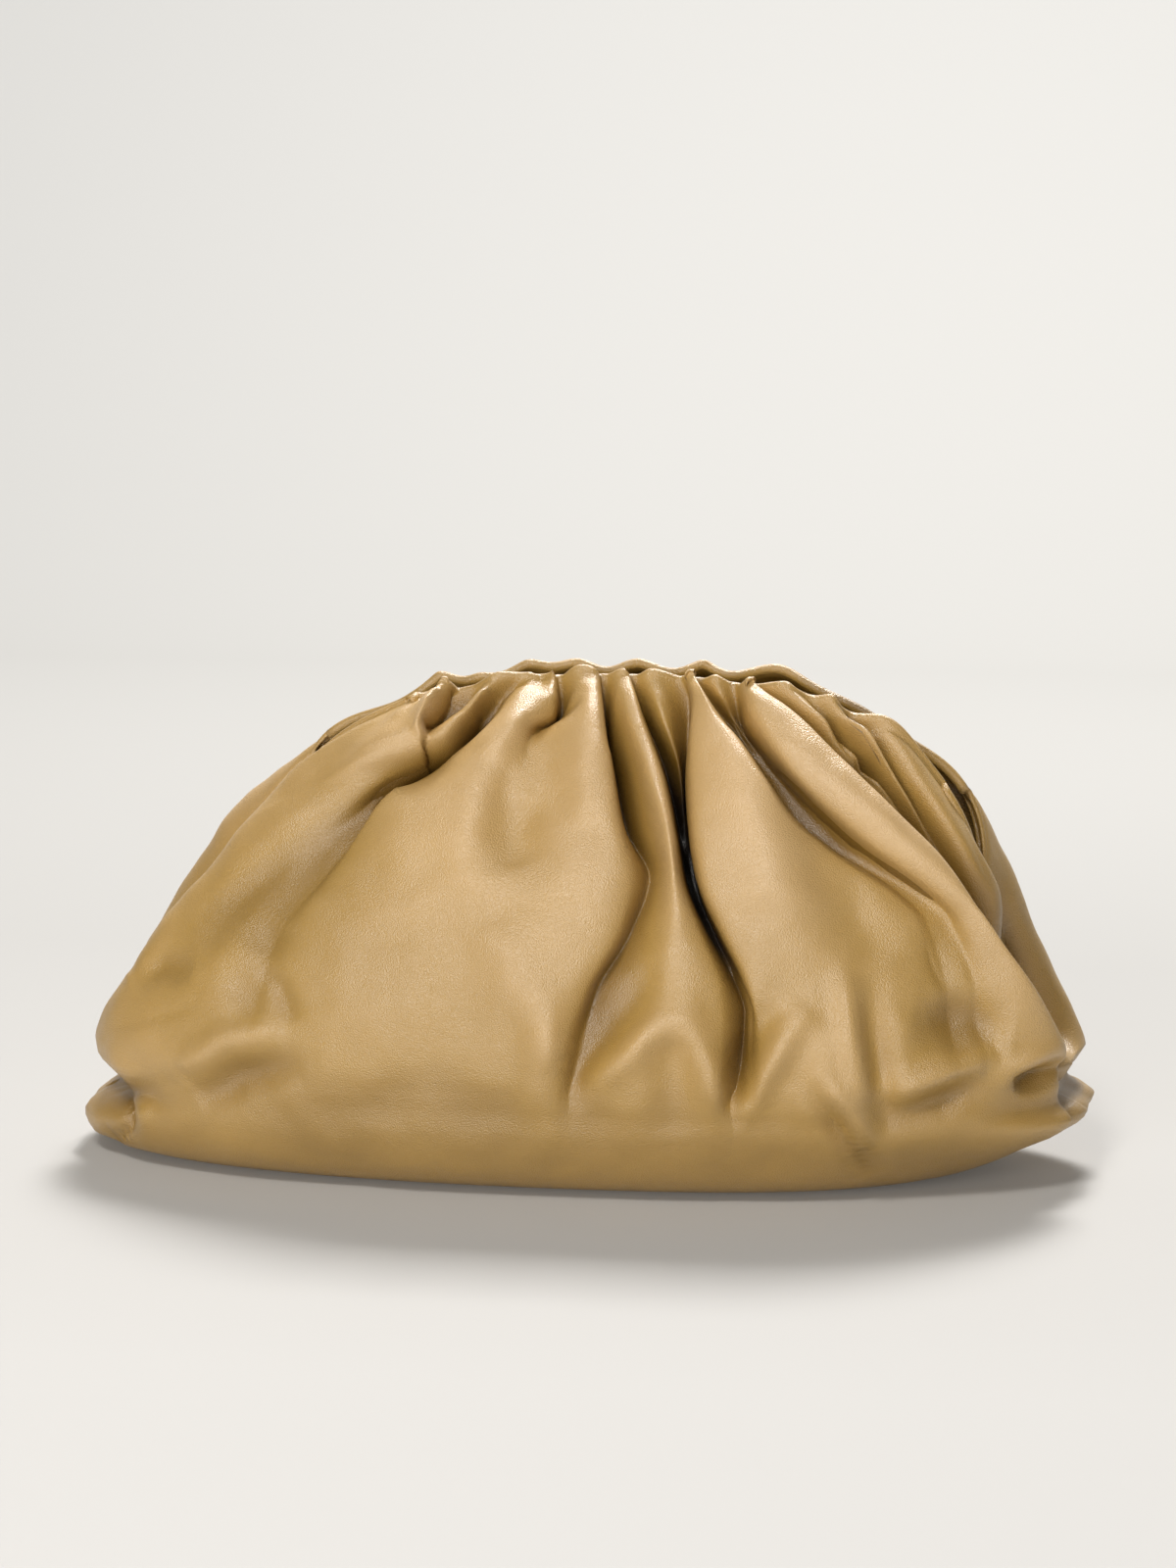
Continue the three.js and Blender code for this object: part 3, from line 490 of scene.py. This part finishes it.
# Dents and ridges of the front, drawn on the photo: mm wide, mm out, (pixel across, pixel down)
strokes = {
    "first groove's foot": (9, -2.5, [(588, 1070), (592, 1100), (606, 1130)]),
    "beside the first groove": (11, 2.5, [(560, 1040), (575, 1100)]),
    "lit dimple": (8, -4, [(757, 1050), (750, 1100), (744, 1130)]),
    "first swag": (9, 6, [(590, 1126), (612, 1098), (650, 1064), (700, 1030)]),
    "first swag's hollow": (10, -4, [(592, 1092), (618, 1066), (650, 1020), (668, 975)]),
    "left of the first swag": (14, 3.5, [(500, 940), (530, 1010), (572, 1090)]),
    "second swag": (9, 6, [(752, 1142), (772, 1102), (800, 1060), (826, 1026)]),
    "second swag's hollow": (8, -4, [(756, 1110), (772, 1070), (786, 1020)]),
    "between the swags": (8, 4, [(700, 1028), (716, 1080), (738, 1128)]),
    "slack over the sole": (20, -3, [(300, 1130), (430, 1120), (540, 1135)]),
    "right slack": (14, -4, [(930, 1040), (985, 1050), (1035, 1060)]),
    "right of the swag": (11, 4, [(838, 1040), (842, 1090), (836, 1150)]),
    "left bulge": (22, 3, [(160, 1040), (175, 1100)]),
    "crease up from the ridge": (5, -2.5, [(300, 1045), (285, 1005), (268, 985)]),
    "lit dimple's lip": (7, 3, [(735, 1070), (730, 1110), (736, 1140)]),
    "soft groove": (10, -4.5, [(692, 1058), (684, 1100), (690, 1160)]),
    "lower crumple ridge": (7, 5.5, [(862, 990), (868, 1060), (881, 1131)]),
    "lower crumple valley": (7, -5, [(890, 1010), (897, 1080), (907, 1162)]),
    "lit band": (7, 5, [(905, 1118), (960, 1098), (1020, 1072)]),
    "under the lit band": (8, -4, [(912, 1140), (960, 1124), (1005, 1104)]),
    "slanting crease": (5, -4.5, [(822, 1104), (845, 1136), (868, 1170), (892, 1202)]),
    "beside the slanting crease": (6, 4.5, [(845, 1105), (868, 1138), (888, 1172)]),
    "upper fine crease": (4.5, -1.6, [(945, 960), (952, 985), (965, 1010)]),
    "long lobe's dip": (9, -3, [(950, 1040), (985, 1030), (1030, 1045)]),
    "left lit ridge": (9, 5.2, [(190, 1095), (227, 1065), (290, 1050)]),
    "under the left ridge": (9, -4.5, [(200, 1125), (245, 1100), (310, 1085)]),
    "left shallow dent": (9, -3.5, [(130, 1000), (165, 985), (200, 990)]),
    "left dimple": (11, -2.6, [(285, 940), (262, 975)]),
    "left second dimple": (9, -1.6, [(256, 995), (236, 1022)]),
    "highlight loop": (14, 3, [(530, 760), (490, 810), (478, 850), (490, 895), (540, 910)]),
    "inside the loop": (11, -2.5, [(535, 810), (522, 850), (535, 885)]),
    "under the hook": (10, -2.5, [(455, 765), (425, 785), (400, 800)]),
    "left corner": (3.5, -6, [(97, 1085), (118, 1100), (130, 1122), (130, 1148), (118, 1164)]),
    "left corner's lip": (5, 3.5, [(112, 1078), (136, 1098), (148, 1125), (146, 1152)]),
    "left ear crease": (2.5, -2.5, [(104, 1150), (116, 1164), (130, 1182)]),
    "right corner": (5.2, -11, [(1038, 1110), (1065, 1099), (1094, 1087)]),
    "right ear's lip": (5, 3.5, [(1042, 1128), (1072, 1120), (1100, 1104)]),
    "over the right corner": (5, 3, [(1030, 1092), (1060, 1080), (1088, 1068)]),
    "hook's lip": (3.6, 5.5, [(482, 692), (456, 698), (439, 718), (430, 742), (437, 757), (456, 745),
        (474, 726)]),
    "inside the hook": (3.4, -8, [(472, 699), (450, 713), (440, 738)]),
    "dark pocket": (9, -3.5, [(462, 762), (432, 776), (402, 798)]),
    "pocket's far wall": (10, 1.5, [(400, 735), (370, 765), (350, 800)]),
    "rolled tuck": (5, 3, [(522, 696), (497, 712), (478, 735)]),
    "notch fold": (2.4, -4, [(570, 690), (571, 708), (573, 728)]),
    "notch's shadow": (3.5, -4, [(592, 716), (570, 730), (550, 745), (545, 754)]),
    "big lobe's crest": (12, 3.5, [(556, 705), (528, 735), (497, 775)]),
    "centre crest": (11, 3, [(603, 705), (601, 780), (603, 850)]),
    "narrow crest": (8, 2.5, [(650, 745), (676, 820), (688, 880), (694, 930)]),
    "right lobe's crest": (14, 3, [(722, 725), (760, 790), (783, 860), (788, 935)]),
    "long lobe's crest": (13, 3, [(790, 745), (850, 800), (920, 870), (985, 935)]),
    "between the lobes": (13, -3.5, [(830, 860), (870, 920), (900, 985)]),
    "small tuck": (3, -2.5, [(735, 700), (742, 722), (752, 742)]),
}

# The same on the arm, right of the long lobe
armStrokes = {
    "tent's groove": (4, -6, [(848, 732), (860, 752), (876, 774)]),
    "tent's ridge": (4.5, 4, [(866, 733), (880, 754), (892, 778)]),
    "rim dimple": (5, -7, [(884, 772), (879, 788), (886, 802)]),
}

# The strip stitched along the rim, in mm
seam = {"at": 3.4, "wide": 0.7, "deep": 0.9, "strip": 0.5, "blend": 1.2}

# Below which width, in mm, a dent is creased; how steeply either kind falls away; least swell
strokeShape = {"narrow": 5, "creased": 1.7, "round": 1.6, "least": 0.04}


# How far strokes push points out; each swells in from both ends
def strokeDent(points, drawn):
    px, py = inPhoto(points + shift)
    perPixel = shot["distance"] / pixelsPerUnit / mm
    total = np.zeros(px.shape)
    for width, depth, line in drawn.values():
        line = np.array(line, float)
        lengths = np.hypot(*np.diff(line, axis=0).T)
        starts = np.concatenate([[0], np.cumsum(lengths)])
        nearest, place = np.full(px.shape, 1e9), np.zeros(px.shape)
        for k, ((x0, y0), (x1, y1)) in enumerate(zip(line, line[1:])):
            dx, dy = x1 - x0, y1 - y0
            t = np.clip(((px - x0) * dx + (py - y0) * dy) / (dx * dx + dy * dy), 0, 1)
            away = np.hypot(px - x0 - t * dx, py - y0 - t * dy)
            place = np.where(away < nearest, (starts[k] + t * lengths[k]) / starts[-1], place)
            nearest = np.minimum(nearest, away)
        swell = np.sqrt(np.clip(np.sin(place * math.pi), strokeShape["least"], 1))
        away = nearest * perPixel / width
        # a narrow dent is creased at its bottom, a wide one is round
        if width < strokeShape["narrow"] and depth < 0:
            total += depth * swell * np.exp(-away * strokeShape["creased"])
        else:
            total += depth * swell * np.exp(-away ** 2 * strokeShape["round"])
    return total


# How near the hide's outer face may come to the mouth's middle, in mm
clear = {
    "bar": 10.0, "facing": 6.8, "open": 3.2, "soft": 0.5,
    "barEnds": (7, 11), "facingEnds": (16, 24),  # mm under the arch
}

# The gathers at the rim: how many turns, where they start, mm out and up
pucker = {"count": 40, "from": 0.86, "out": 1.8, "up": 1.0}

# Passes that round the gathers off near the rim: all round, then on the right of both sides, then
# on the right of the back and round the cleft alone
rimRound = {"from": 0.93, "passes": 26, "allRound": 6, "right": 14}

# Slow waves of soft hide: mm long, mm deep, seed
slack = [(34, 1.5, 3), (13, 0.7, 9)]


def sag(points, scale, seed):
    flat = points.reshape(-1, 3) / scale
    waves = [noise.noise(Vector((p[0] + seed, p[1], p[2]))) for p in flat]
    return np.array(waves).reshape(points.shape[:-1])


def archPlace(share, outside):
    share = np.clip(share, -1, 1)
    x = pouch["frameOffset"] + (pouch["frameWidth"] / 2 + outside) * share
    return np.stack([x, archHeight(share, outside)], -1)


# Unit vectors along the arch's radius
def radialAt(share):
    run = archPlace(share + 0.01, 0) - archPlace(share - 0.01, 0)
    return unit(np.stack([-run[..., 1], np.zeros_like(share), run[..., 0]], -1))


# The hide can't sink into the frame's bars, the facing or the other side
def offFrame(points, angle, level, inside):
    below = archHeight(shareAt(angle), 0) - points[..., 2]
    least = clear["bar"] - (clear["bar"] - clear["facing"]) * smooth(*clear["barEnds"], below)
    least = least - (clear["facing"] - clear["open"]) * smooth(*clear["facingEnds"], below) - inside
    least = least * np.sqrt(1 - smooth(0.9, 1, np.abs(shareAt(angle))) ** 2) * smooth(0.3, 0.5, level)
    apart = np.abs(points[..., 1])
    room = clear["soft"]
    past = np.minimum(apart, least + room) - least - room
    kept = np.where(apart > least + room, apart, least + room * np.exp(past / room))
    points[..., 1] = np.where(level > 0.3, np.where(girthAt(angle) > 0, 1, -1) * kept, points[..., 1])
    return points


# The hide's outer face
def outerFace():
    levels, angle, out, lift, edge = foldedRing()
    level = np.repeat(levels[:, None], angle.shape[1], 1)
    base = envelope(angle, level)
    outward = outwardAt(angle, level)
    flat = outward.copy()
    flat[..., 2] = 0
    outward = np.where(level[..., None] < 0, unit(flat), outward)
    # the gathers stand up over the rim, along the arch's radius
    share = shareAt(angle)
    radial = radialAt(share)
    up = np.clip(level, 0, 1) ** 2
    # puckers where the hide is gathered on the rim, uneven but the same at every run
    turn = angle * pucker["count"] + 1.3 * np.sin(angle * 7) + 0.8 * np.sin(angle * 17 + 1)
    pull = np.sin(turn) * (0.6 + 0.4 * np.sin(angle * 5 + 2))
    pull = pull * (1 - smooth(0.5, 0.66, np.abs(share))) * smooth(pucker["from"], 1, level)
    out = out + pucker["out"] * pull
    lift = lift + pucker["up"] * np.maximum(pull, -0.2)
    rise = (lift + 0.12 * np.maximum(out, 0) * smooth(0.8, 1, level)) * up
    # the tucks over the two bottom corners
    section = np.array(lowerSections)
    height = np.clip(1 + level, 0, 1)
    left, right = easy(section[:, 0], section[:, 4], height), easy(section[:, 0], section[:, 5], height)
    tuck = np.where(share < 0, left, right) * np.where(level < 0, 1, 0) * cornerTuck["depth"]
    tuck = tuck * smooth(cornerTuck["from"], 1, np.abs(share))
    points = base + outward * (out - tuck)[..., None] + radial * rise[..., None]
    onIt = np.where((angle < math.pi) & (level < 0.97), 1.0, 0.0) * smooth(-1, -0.85, level)
    beyond = smooth(edge + 0.005, edge + 0.02, angle)
    dent = (strokeDent(points, strokes) * (1 - beyond) + strokeDent(points, armStrokes) * beyond) * onIt
    # the strip stitched along the rim, where the front hide leaves the frame
    away = np.linalg.norm(np.diff(points, axis=0), axis=-1)[::-1].cumsum(0)[::-1]
    away = np.concatenate([away, np.zeros((1, away.shape[1]))])
    beside = np.where(angle < math.pi, 1, 0) * smooth(0.62, 0.7, share) * (1 - smooth(0.97, 0.99, share))
    dent = dent + beside * (seam["strip"] * (1 - smooth(seam["at"] - seam["blend"], seam["at"], away))
                            - seam["deep"] * np.exp(-((away - seam["at"]) / seam["wide"]) ** 2))
    calm = smooth(-0.98, -0.7, level) * (1 - 0.7 * smooth(0.8, 1, level))
    for size, deep, seed in slack:
        dent = dent + deep * sag(points, size, seed) * calm
    points = points + outward * dent[..., None]
    points = offFrame(points, angle, level, 0)
    atRim = smooth(rimRound["from"], 1, level)[..., None]
    for k in range(rimRound["passes"]):
        if k == rimRound["allRound"]:
            atRim = atRim * smooth(0.22, 0.36, share)[..., None]
        if k == rimRound["right"]:
            atRim = atRim * smooth(math.pi - 0.6, math.pi - 0.3, angle)[..., None]
        points += atRim * (np.roll(points, 1, 1) + np.roll(points, -1, 1) - 2 * points) / 4
    # the rim's roll stays over the facing
    points[-1, :, 2] = np.maximum(points[-1, :, 2], archHeight(share[-1], pouch["hideTop"]) - 0.2)
    return levels, angle, points, base, outward, out + dent - tuck


def addMesh(name, points, faces):
    mesh = bpy.data.meshes.new(name)
    mesh.from_pydata([tuple(p) for p in points], [], faces)
    mesh.validate()
    mesh.shade_smooth()
    piece = bpy.data.objects.new(name, mesh)
    bpy.context.scene.collection.objects.link(piece)
    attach(piece, "root")
    return piece


def hideBody():
    levels, angle, outer, base, outward, standing = outerFace()
    rows, count = outer.shape[:2]
    print("hide grid", rows, "rows", count, "columns")
    allRows = [outer[0] * np.array([k, k, 1]) for k in grid["soleRings"]] + list(outer)
    start = len(grid["soleRings"])
    # normals of the outer face
    face = np.stack(allRows)
    acrossRow = np.roll(face, -1, 1) - np.roll(face, 1, 1)
    normal = unit(np.cross(acrossRow, np.gradient(face, axis=0)))
    rim, rimNormal = face[-1], normal[-1].copy()
    radial = radialAt(shareAt(angle[-1]))
    rimNormal -= radial * (rimNormal * radial).sum(-1, keepdims=True)
    for _ in range(6):
        rimNormal = (np.roll(rimNormal, 1, 0) + 2 * rimNormal + np.roll(rimNormal, -1, 0)) / 4
    rimNormal = unit(rimNormal)
    roll = pouch["roll"]
    for turn in np.linspace(0, math.pi, grid["rollRows"] + 1)[1:]:
        allRows.append(rim + rimNormal * roll * (math.cos(turn) - 1) + radial * roll * math.sin(turn))
    allRows.append(rim - rimNormal * (2 * roll - 0.4) - radial * 1.6)
    allRows.append(rim - rimNormal * pouch["wall"] - radial * 2.2)
    # the inner skin lies behind the deepest hide around it, so that most dents stay clear of it
    deepest = standing.copy()
    rowsRound, columnsRound = grid["innerReach"]
    for down in range(-rowsRound, rowsRound + 1):
        for over in range(-columnsRound, columnsRound + 1):
            moved = np.roll(standing, over, 1)[np.clip(np.arange(rows) + down, 0, rows - 1)]
            deepest = np.minimum(deepest, moved)
    near = smooth(0.8, 0.93, levels)[:, None, None]
    # farther in low down, where its rows are far apart
    behind = pouch["wall"] + pouch["lowBehind"] * (1 - smooth(0.1, 0.7, levels))[:, None]
    plain = base + outward * (deepest - behind)[..., None]
    inner = plain + (face[start:] - normal[start:] * pouch["wall"] - plain) * near
    inner[..., 2] = np.maximum(inner[..., 2], pouch["wall"] + 1)
    inner = offFrame(inner, angle, np.repeat(levels[:, None], count, 1), pouch["wall"] - 0.1)
    for k in [*range(rows - 4, 8, -grid["innerEvery"]), 6, 3]:
        allRows.append(inner[k])
    floorIn = inner[3] * np.array([0.9, 0.9, 1])
    floorIn[:, 2] = pouch["wall"]
    allRows += [floorIn, floorIn * np.array([0.5, 0.5, 1])]
    points = np.concatenate([*allRows, [[0, 0, 0]], [[0, 0, pouch["wall"]]]])
    points = (points + shift) * mm
    total = len(allRows)
    faces = []
    for i in range(total - 1):
        for j in range(count):
            k = (j + 1) % count
            faces.append((i * count + j, i * count + k, (i + 1) * count + k, (i + 1) * count + j))
    bottom = total * count
    for j in range(count):
        k = (j + 1) % count
        faces.append((bottom, k, j))
        faces.append((bottom + 1, bottom - count + j, bottom - count + k))
    piece = addMesh("gathered_hide", points, faces)
    # painted shade and highlight: the hide is coloured darker the deeper it sinks and paler the farther it
    # stands out, less so at the clefts
    atCleft = smooth(0.9, 0.97, np.abs(shareAt(angle)))
    shown = np.clip(0.5 + standing / np.where(standing < 0, 58, 36) * (1 - 0.7 * atCleft), 0, 1)
    for _ in range(3):
        shown = (np.roll(shown, 1, 1) + 2 * shown + np.roll(shown, -1, 1)) / 4
    stand = piece.data.attributes.new("standing", "FLOAT", "POINT")
    # the inner skin takes the ramp's darker hollow tone, the sole rings the flat one
    values = np.full(len(points), 0.35)
    rolled = grid["rollRows"] + 2
    values[:start * count] = 0.5
    values[start * count:(start + rows) * count] = shown.ravel()
    values[(start + rows) * count:(start + rows + rolled) * count] = np.tile(shown[-1], rolled)
    stand.data.foreach_set("value", values)
    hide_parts("pouch_body")
    return piece


hide = hideBody()
print("stage: hide, triangles", sum(len(p.vertices) - 2 for p in hide.data.polygons))


def linear(code):
    code = code.lstrip("#")
    rgb = [int(code[k:k + 2], 16) / 255 for k in (0, 2, 4)]
    return tuple(c / 12.92 if c <= 0.04045 else ((c + 0.055) / 1.055) ** 2.4 for c in rgb) + (1,)


def addNode(tree, kind, settings=None, links=None):
    node = tree.nodes.new(kind)
    for name, value in (settings or {}).items():
        if name in node.inputs:
            node.inputs[name].default_value = value
        else:
            setattr(node, name, value)
    for name, socket in (links or {}).items():
        tree.links.new(socket, node.inputs[name])
    return node


def plainMaterial(name, color, roughness):
    material = bpy.data.materials.new(name)
    material.use_nodes = True
    shader = material.node_tree.nodes["Principled BSDF"]
    shader.inputs["Base Color"].default_value = linear(color)
    shader.inputs["Roughness"].default_value = roughness
    return material


# Full-grain calf, drum dyed: khaki, with painted shade that goes golden brown to near black in the
# folds and a paler painted highlight on the crests, and a fine pebble grain that breaks up the highlights
calfSkin = {
    "pit": "#120A03", "deep": "#2A1A08", "hollow": "#7A5A1C", "flat": "#AE8A46", "crest": "#CFAC79",
    "grain": 0.85, "roughness": 0.42,
}
# Vegetable tanned split for the facing: olive, duller, and with less grain
facingSkin = {
    "pit": "#120A03", "deep": "#2A1A08", "hollow": "#8C8458", "flat": "#B7AB7C", "crest": "#C6BC92",
    "grain": 0.4, "roughness": 0.5,
}
# Patterns per metre: tone clouds of 70 mm, creases of 6 mm, pebbles of 0.57 mm and pores of 0.38 mm
grainPerMetre = {"clouds": 14, "creases": 160, "pebbles": 1750, "pores": 2600}
# Where the colours lie on the ramp from the deepest hide to the proudest: painted shade to painted
# highlight
paintedShadeAndHighlightStops = {"pit": 0.0, "deep": 0.14, "hollow": 0.35, "flat": 0.52, "crest": 1.0}
waxed = {"Coat Weight": 0.2, "Coat Roughness": 0.3, "Specular IOR Level": 1.0}


def leather(name, skin):
    roughness = skin["roughness"]
    material = plainMaterial(name, skin["flat"], roughness)
    tree = material.node_tree
    shader = tree.nodes["Principled BSDF"]
    place = addNode(tree, "ShaderNodeTexCoord").outputs["Object"]
    stand = addNode(tree, "ShaderNodeAttribute", {"attribute_name": "standing"}).outputs["Fac"]
    # painted shade in the folds and painted highlight on the crests, read from how far the hide stands in
    # or out
    ramp = addNode(tree, "ShaderNodeValToRGB", links={"Fac": stand})
    stops = ramp.color_ramp.elements
    for stop, key in ((stops[0], "pit"), (stops[1], "crest")):
        stop.position, stop.color = paintedShadeAndHighlightStops[key], linear(skin[key])
    for key in ("deep", "hollow", "flat"):
        stops.new(paintedShadeAndHighlightStops[key]).color = linear(skin[key])
    clouds = addNode(tree, "ShaderNodeTexNoise",
                     {"Scale": grainPerMetre["clouds"], "Detail": 3, "Roughness": 0.5}, {"Vector": place})
    shade = addNode(tree, "ShaderNodeMapRange",
                    {"From Min": 0.3, "From Max": 0.7, "To Min": 0.94, "To Max": 1.05},
                    {"Value": clouds.outputs["Fac"]})
    tone = addNode(tree, "ShaderNodeHueSaturation",
                   links={"Color": ramp.outputs["Color"], "Value": shade.outputs["Result"]})
    tree.links.new(tone.outputs["Color"], shader.inputs["Base Color"])
    pebble = addNode(tree, "ShaderNodeTexVoronoi", {"Scale": grainPerMetre["pebbles"], "feature": "F1"},
                     {"Vector": place})
    pore = addNode(tree, "ShaderNodeTexNoise", {"Scale": grainPerMetre["pores"], "Detail": 2},
                   {"Vector": place})
    crease = addNode(tree, "ShaderNodeTexNoise",
                     {"Scale": grainPerMetre["creases"], "Detail": 4, "Roughness": 0.55}, {"Vector": place})
    first = addNode(tree, "ShaderNodeBump", {"Strength": 0.3, "Distance": 0.0006},
                    {"Height": crease.outputs["Fac"]})
    second = addNode(tree, "ShaderNodeBump",
                     {"Strength": skin["grain"], "Distance": 0.00022, "invert": True},
                     {"Height": pebble.outputs["Distance"], "Normal": first.outputs["Normal"]})
    third = addNode(tree, "ShaderNodeBump", {"Strength": 0.12, "Distance": 0.0001},
                    {"Height": pore.outputs["Fac"], "Normal": second.outputs["Normal"]})
    tree.links.new(third.outputs["Normal"], shader.inputs["Normal"])
    low, high = roughness - 0.05, roughness + 0.07
    shine = addNode(tree, "ShaderNodeMapRange",
                    {"From Min": 0.3, "From Max": 0.7, "To Min": low, "To Max": high},
                    {"Value": crease.outputs["Fac"]})
    tree.links.new(shine.outputs["Result"], shader.inputs["Roughness"])
    tree.links.new(third.outputs["Normal"], shader.inputs["Coat Normal"])
    for setting, value in waxed.items():
        shader.inputs[setting].default_value = value
    return material


calf = leather("drum dyed calf leather", calfSkin)
facingLeather = leather("vegetable tanned facing leather", facingSkin)
hide.data.materials.append(calf)

# Facing strips: a leather hook laid over each bar of the frame, down into the mouth
strip = {
    "ends": 0.88,  # share of the arch
    "inner": 2.9, "outer": 7.3,  # mm from the mouth's middle
    "drop": 15, "wall": 1.2, "around": 90,
}


def hookSection():
    inner, outer, top, wall = strip["inner"], strip["outer"], pouch["facingTop"], strip["wall"]
    path = [(inner, -strip["drop"]), (inner, top - 1.2)]
    for k in range(1, 6):
        turn = k / 6 * math.pi / 2
        path.append((inner + 1.2 - 1.2 * math.cos(turn), top - 1.2 + 1.2 * math.sin(turn)))
    path += [(inner + 1.2, top), (outer - 0.2, top), (outer, top - 0.3)]
    path += [(outer, top - wall + 0.3), (outer - 0.2, top - wall)]
    path += [(inner + wall + 0.3, top - wall), (inner + wall, top - wall - 0.3), (inner + wall, 0)]
    path += [(inner + wall, 0.3 - strip["drop"]), (inner + wall - 0.3, -strip["drop"] - 0.1)]
    path += [(inner + 0.3, -strip["drop"] - 0.1)]
    return path


def facingStrip(name, node, side):
    section = hookSection()
    points, faces = [], []
    for k in range(strip["around"] + 1):
        share = np.sin((k / strip["around"] - 0.5) * math.pi) * strip["ends"]
        place = archPlace(np.array(share), 0)
        run = archPlace(np.array(share + 0.002), 0) - archPlace(np.array(share - 0.002), 0)
        run = run / np.linalg.norm(run)
        wave = 0.12 * math.sin(share * 40) + 0.1 * math.sin(share * 17 + side)
        for across, up in section:
            points.append((place[0] - run[1] * (up + wave), side * across, place[1] + run[0] * (up + wave)))
    points = (np.array(points) + shift) * mm
    n = len(section)
    for i in range(strip["around"]):
        for j in range(n):
            k = (j + 1) % n
            face = (i * n + j, (i + 1) * n + j, (i + 1) * n + k, i * n + k)
            faces.append(face if side < 0 else face[::-1])
    first, last = tuple(range(n)), tuple(strip["around"] * n + j for j in range(n))
    faces.append(first if side < 0 else first[::-1])
    faces.append(last[::-1] if side < 0 else last)
    piece = addMesh(name, points, faces)
    stand = piece.data.attributes.new("standing", "FLOAT", "POINT")
    stand.data.foreach_set("value", np.full(len(points), 0.5))
    piece.data.materials.append(facingLeather)
    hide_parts(node)
    return piece


# Sheet steel for the hidden clasp: plain satin with no brushing drawn, as it lies under the hide
steel = plainMaterial("satin sheet steel", "#B4B5B8", 0.38)
steel.node_tree.nodes["Principled BSDF"].inputs["Metallic"].default_value = 1.0
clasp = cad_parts["closing_frame"]
if not clasp.material_slots:
    clasp.data.materials.append(steel)
for k in range(len(clasp.material_slots)):
    clasp.material_slots[k].material = steel

facingStrip("front_facing_strip", "front_facing", -1)
facingStrip("back_facing_strip", "back_facing", 1)
print("stage: facings")

# A paper sweep with no corner, so that floor and backdrop run into one
sweep = {
    "half": 4.0, "front": -3.0, "bend": 1.6, "radius": 1.2, "top": 4.0,
    "near": "#BDBCBA", "far": "#949390", "glow": 0.06, "backGlow": 0.5,
}


def addSweep():
    run = [(sweep["front"], 0.0), (0.0, 0.0), (sweep["bend"], 0.0)]
    for k in range(1, 13):
        turn = k / 12 * math.pi / 2
        forward, rise = math.sin(turn), 1 - math.cos(turn)
        run.append((sweep["bend"] + sweep["radius"] * forward, sweep["radius"] * rise))
    run.append((sweep["bend"] + sweep["radius"], sweep["top"]))
    points, faces = [], []
    for y, z in run:
        points += [(-sweep["half"], y, z), (sweep["half"], y, z)]
    for k in range(len(run) - 1):
        faces.append((2 * k, 2 * k + 1, 2 * k + 3, 2 * k + 2))
    mesh = bpy.data.meshes.new("paper_sweep")
    mesh.from_pydata(points, [], faces)
    mesh.shade_smooth()
    paper = bpy.data.objects.new("paper_sweep", mesh)
    bpy.context.scene.collection.objects.link(paper)
    material = plainMaterial("pale background paper", sweep["near"], 0.95)
    paper.data.materials.append(material)
    # the paper glows a little, more towards the back, so floor and backdrop come out one pale tone
    tree = material.node_tree
    shader = tree.nodes["Principled BSDF"]
    place = addNode(tree, "ShaderNodeTexCoord").outputs["Object"]
    parts = addNode(tree, "ShaderNodeSeparateXYZ", links={"Vector": place})
    glow = addNode(tree, "ShaderNodeMapRange", {"From Min": 0.4, "From Max": 3.0, "To Min": sweep["glow"],
                   "To Max": sweep["backGlow"]}, {"Value": parts.outputs["Y"]})
    tree.links.new(glow.outputs["Result"], shader.inputs["Emission Strength"])
    grade = addNode(tree, "ShaderNodeMapRange",
                    {"From Min": -0.3, "From Max": 1.5, "To Min": 0.0, "To Max": 1.0},
                    {"Value": parts.outputs["Y"]})
    tint = addNode(tree, "ShaderNodeMix", {"data_type": "RGBA"}, {"Factor": grade.outputs["Result"]})
    tint.inputs[6].default_value, tint.inputs[7].default_value = linear(sweep["near"]), linear(sweep["far"])
    tree.links.new(tint.outputs[2], shader.inputs["Base Color"])
    shader.inputs["Emission Color"].default_value = linear("#FFFEFB")
    shader.inputs["Specular IOR Level"].default_value = 0.0


addSweep()
world = bpy.data.worlds.new("studio")
world.use_nodes = True
world.node_tree.nodes["Background"].inputs["Color"].default_value = linear("#FBFAF7")
world.node_tree.nodes["Background"].inputs["Strength"].default_value = 0.13
bpy.context.scene.world = world

# Softboxes: two behind and above throw the shadow forward, two in front model the folds
lamps = {
    "front softbox": {"place": (-0.35, -1.7, 2.05), "size": 0.55, "power": 30, "color": "#FFFBF5"},
    "low fill": {"place": (-0.3, -1.8, 0.4), "size": 0.9, "power": 17, "color": "#FFFCF8"},
    "back softbox": {"place": (0.0, 1.7, 2.4), "size": 0.7, "power": 55, "color": "#FFFDFB"},
    "right back softbox": {"place": (0.35, 1.7, 2.4), "size": 0.7, "power": 55, "color": "#FFFDFB"},
}
for name, lamp in lamps.items():
    data = bpy.data.lights.new(name, "AREA")
    data.size = lamp["size"]
    data.energy = lamp["power"]
    data.color = linear(lamp["color"])[:3]
    light = bpy.data.objects.new(name, data)
    light.location = lamp["place"]
    light.rotation_euler = (Vector((0, 0, 0.1)) - light.location).to_track_quat("-Z", "Y").to_euler()
    bpy.context.scene.collection.objects.link(light)
bpy.context.scene.view_settings.view_transform = "Standard"
print("stage: light and floor")
